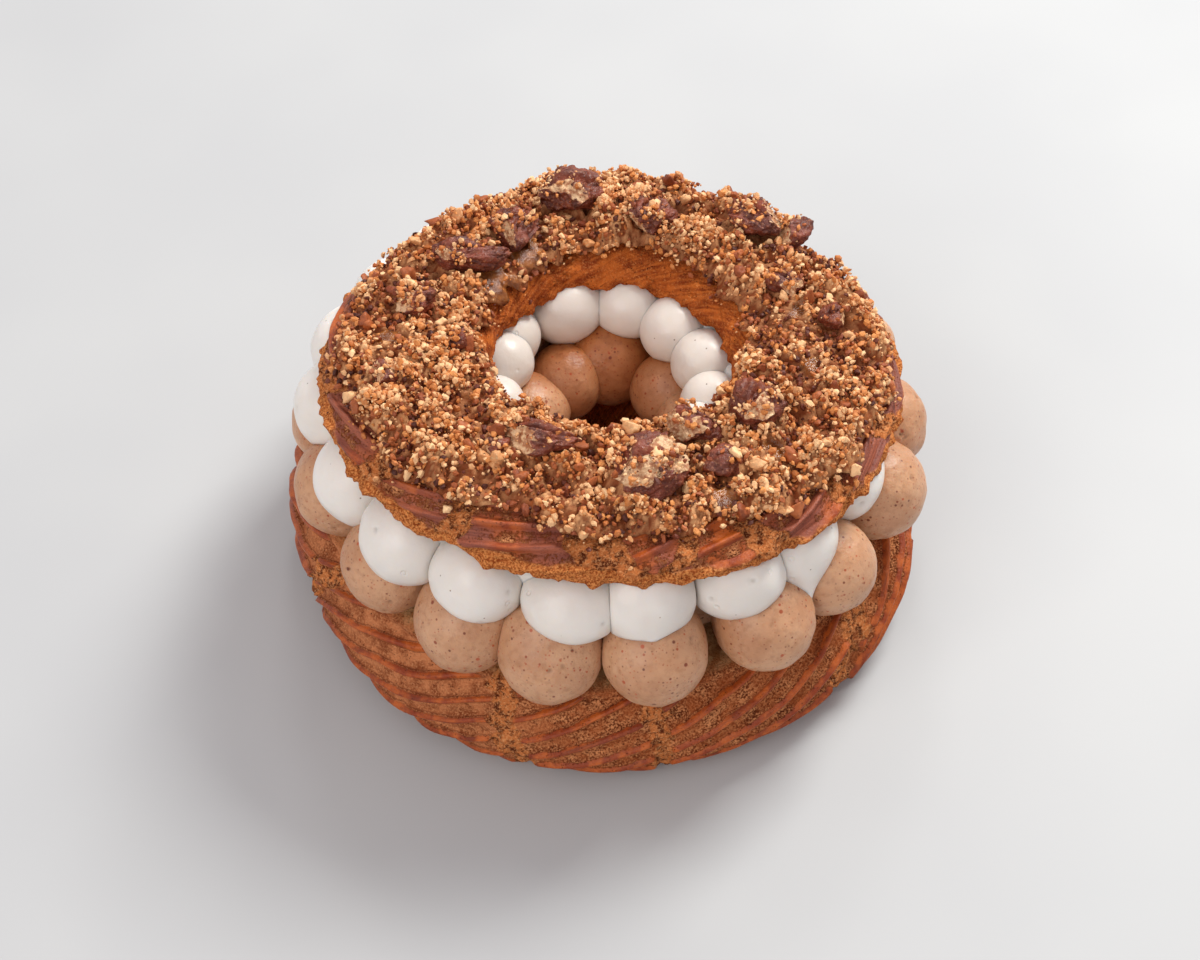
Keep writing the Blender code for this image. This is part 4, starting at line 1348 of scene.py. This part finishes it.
def make_camera():
    data = bpy.data.cameras.new("camera")
    data.lens = CAMERA_LENS
    data.sensor_width = 36.0
    data.shift_x = CAMERA_SHIFT_X
    data.shift_y = CAMERA_SHIFT_Y
    data.clip_start = 0.01
    camera = bpy.data.objects.new("camera", data)
    bpy.context.scene.collection.objects.link(camera)
    away = Vector((0, -math.cos(CAMERA_ELEVATION), math.sin(CAMERA_ELEVATION)))
    camera.location = LOOK_AT + away * CAMERA_DISTANCE
    aim(camera, LOOK_AT)
    bpy.context.scene.camera = camera
    view = bpy.context.scene.view_settings
    view.view_transform = "Standard"
    view.look = "None"


# ---------------------------------------------------------------- everything

def make_crumble():
    make_crumble_core(core_material())
    light = crumb_material("crumb_light", (0.62, 0.245, 0.082), (0.95, 0.60, 0.310))
    brown = crumb_material("crumb_brown", (0.20, 0.038, 0.011), (0.46, 0.125, 0.034))
    golden = crumb_material("crumb_golden", (0.46, 0.128, 0.028), (0.75, 0.300, 0.085))
    dark = crumb_material("crumb_dark", (0.060, 0.011, 0.005), (0.16, 0.032, 0.012))
    # The crumbs' colours are their own, but light and golden crumbs are gathered on the tops of the clumps and brown
    # and dark ones in the hollows between them: painted light on the tops, painted shade in the hollows.
    scatter("crumbs_large_light", light, 60, (1.3 * MM, 2.4 * MM), 3, 301, stretch=1.4, on_pecans=0.3)
    scatter("crumbs_large_brown", brown, 80, (1.2 * MM, 2.4 * MM), 3, 302, stretch=1.6, on_pecans=0.2)
    scatter("crumbs_small_light", light, 6400, (0.32 * MM, 1.25 * MM), 1, 303, outside=0.004,
            on_clumps=0.9, on_pecans=0.80, loose=0.9, gathered=0.48)
    scatter("crumbs_small_golden", golden, 5200, (0.32 * MM, 1.20 * MM), 1, 304, outside=0.005,
            on_clumps=0.5, on_pecans=0.75, loose=0.8, gathered=0.42)
    scatter("crumbs_small_brown", brown, 3300, (0.34 * MM, 1.25 * MM), 1, 305, outside=0.004,
            on_clumps=-0.4, on_pecans=0.5, gathered=0.20)
    scatter("crumbs_small_dark", dark, 1300, (0.35 * MM, 1.3 * MM), 1, 306, outside=0.003,
            on_clumps=-0.9, on_pecans=0.3)


def main():
    choux = choux_material()
    make_base(choux)
    make_cap(choux)
    make_nut_cream(nut_cream_material())
    make_vanilla_cream(vanilla_cream_material())
    make_crumble()
    make_pecans(pecan_material())
    make_floor()
    make_lights()
    make_camera()


main()
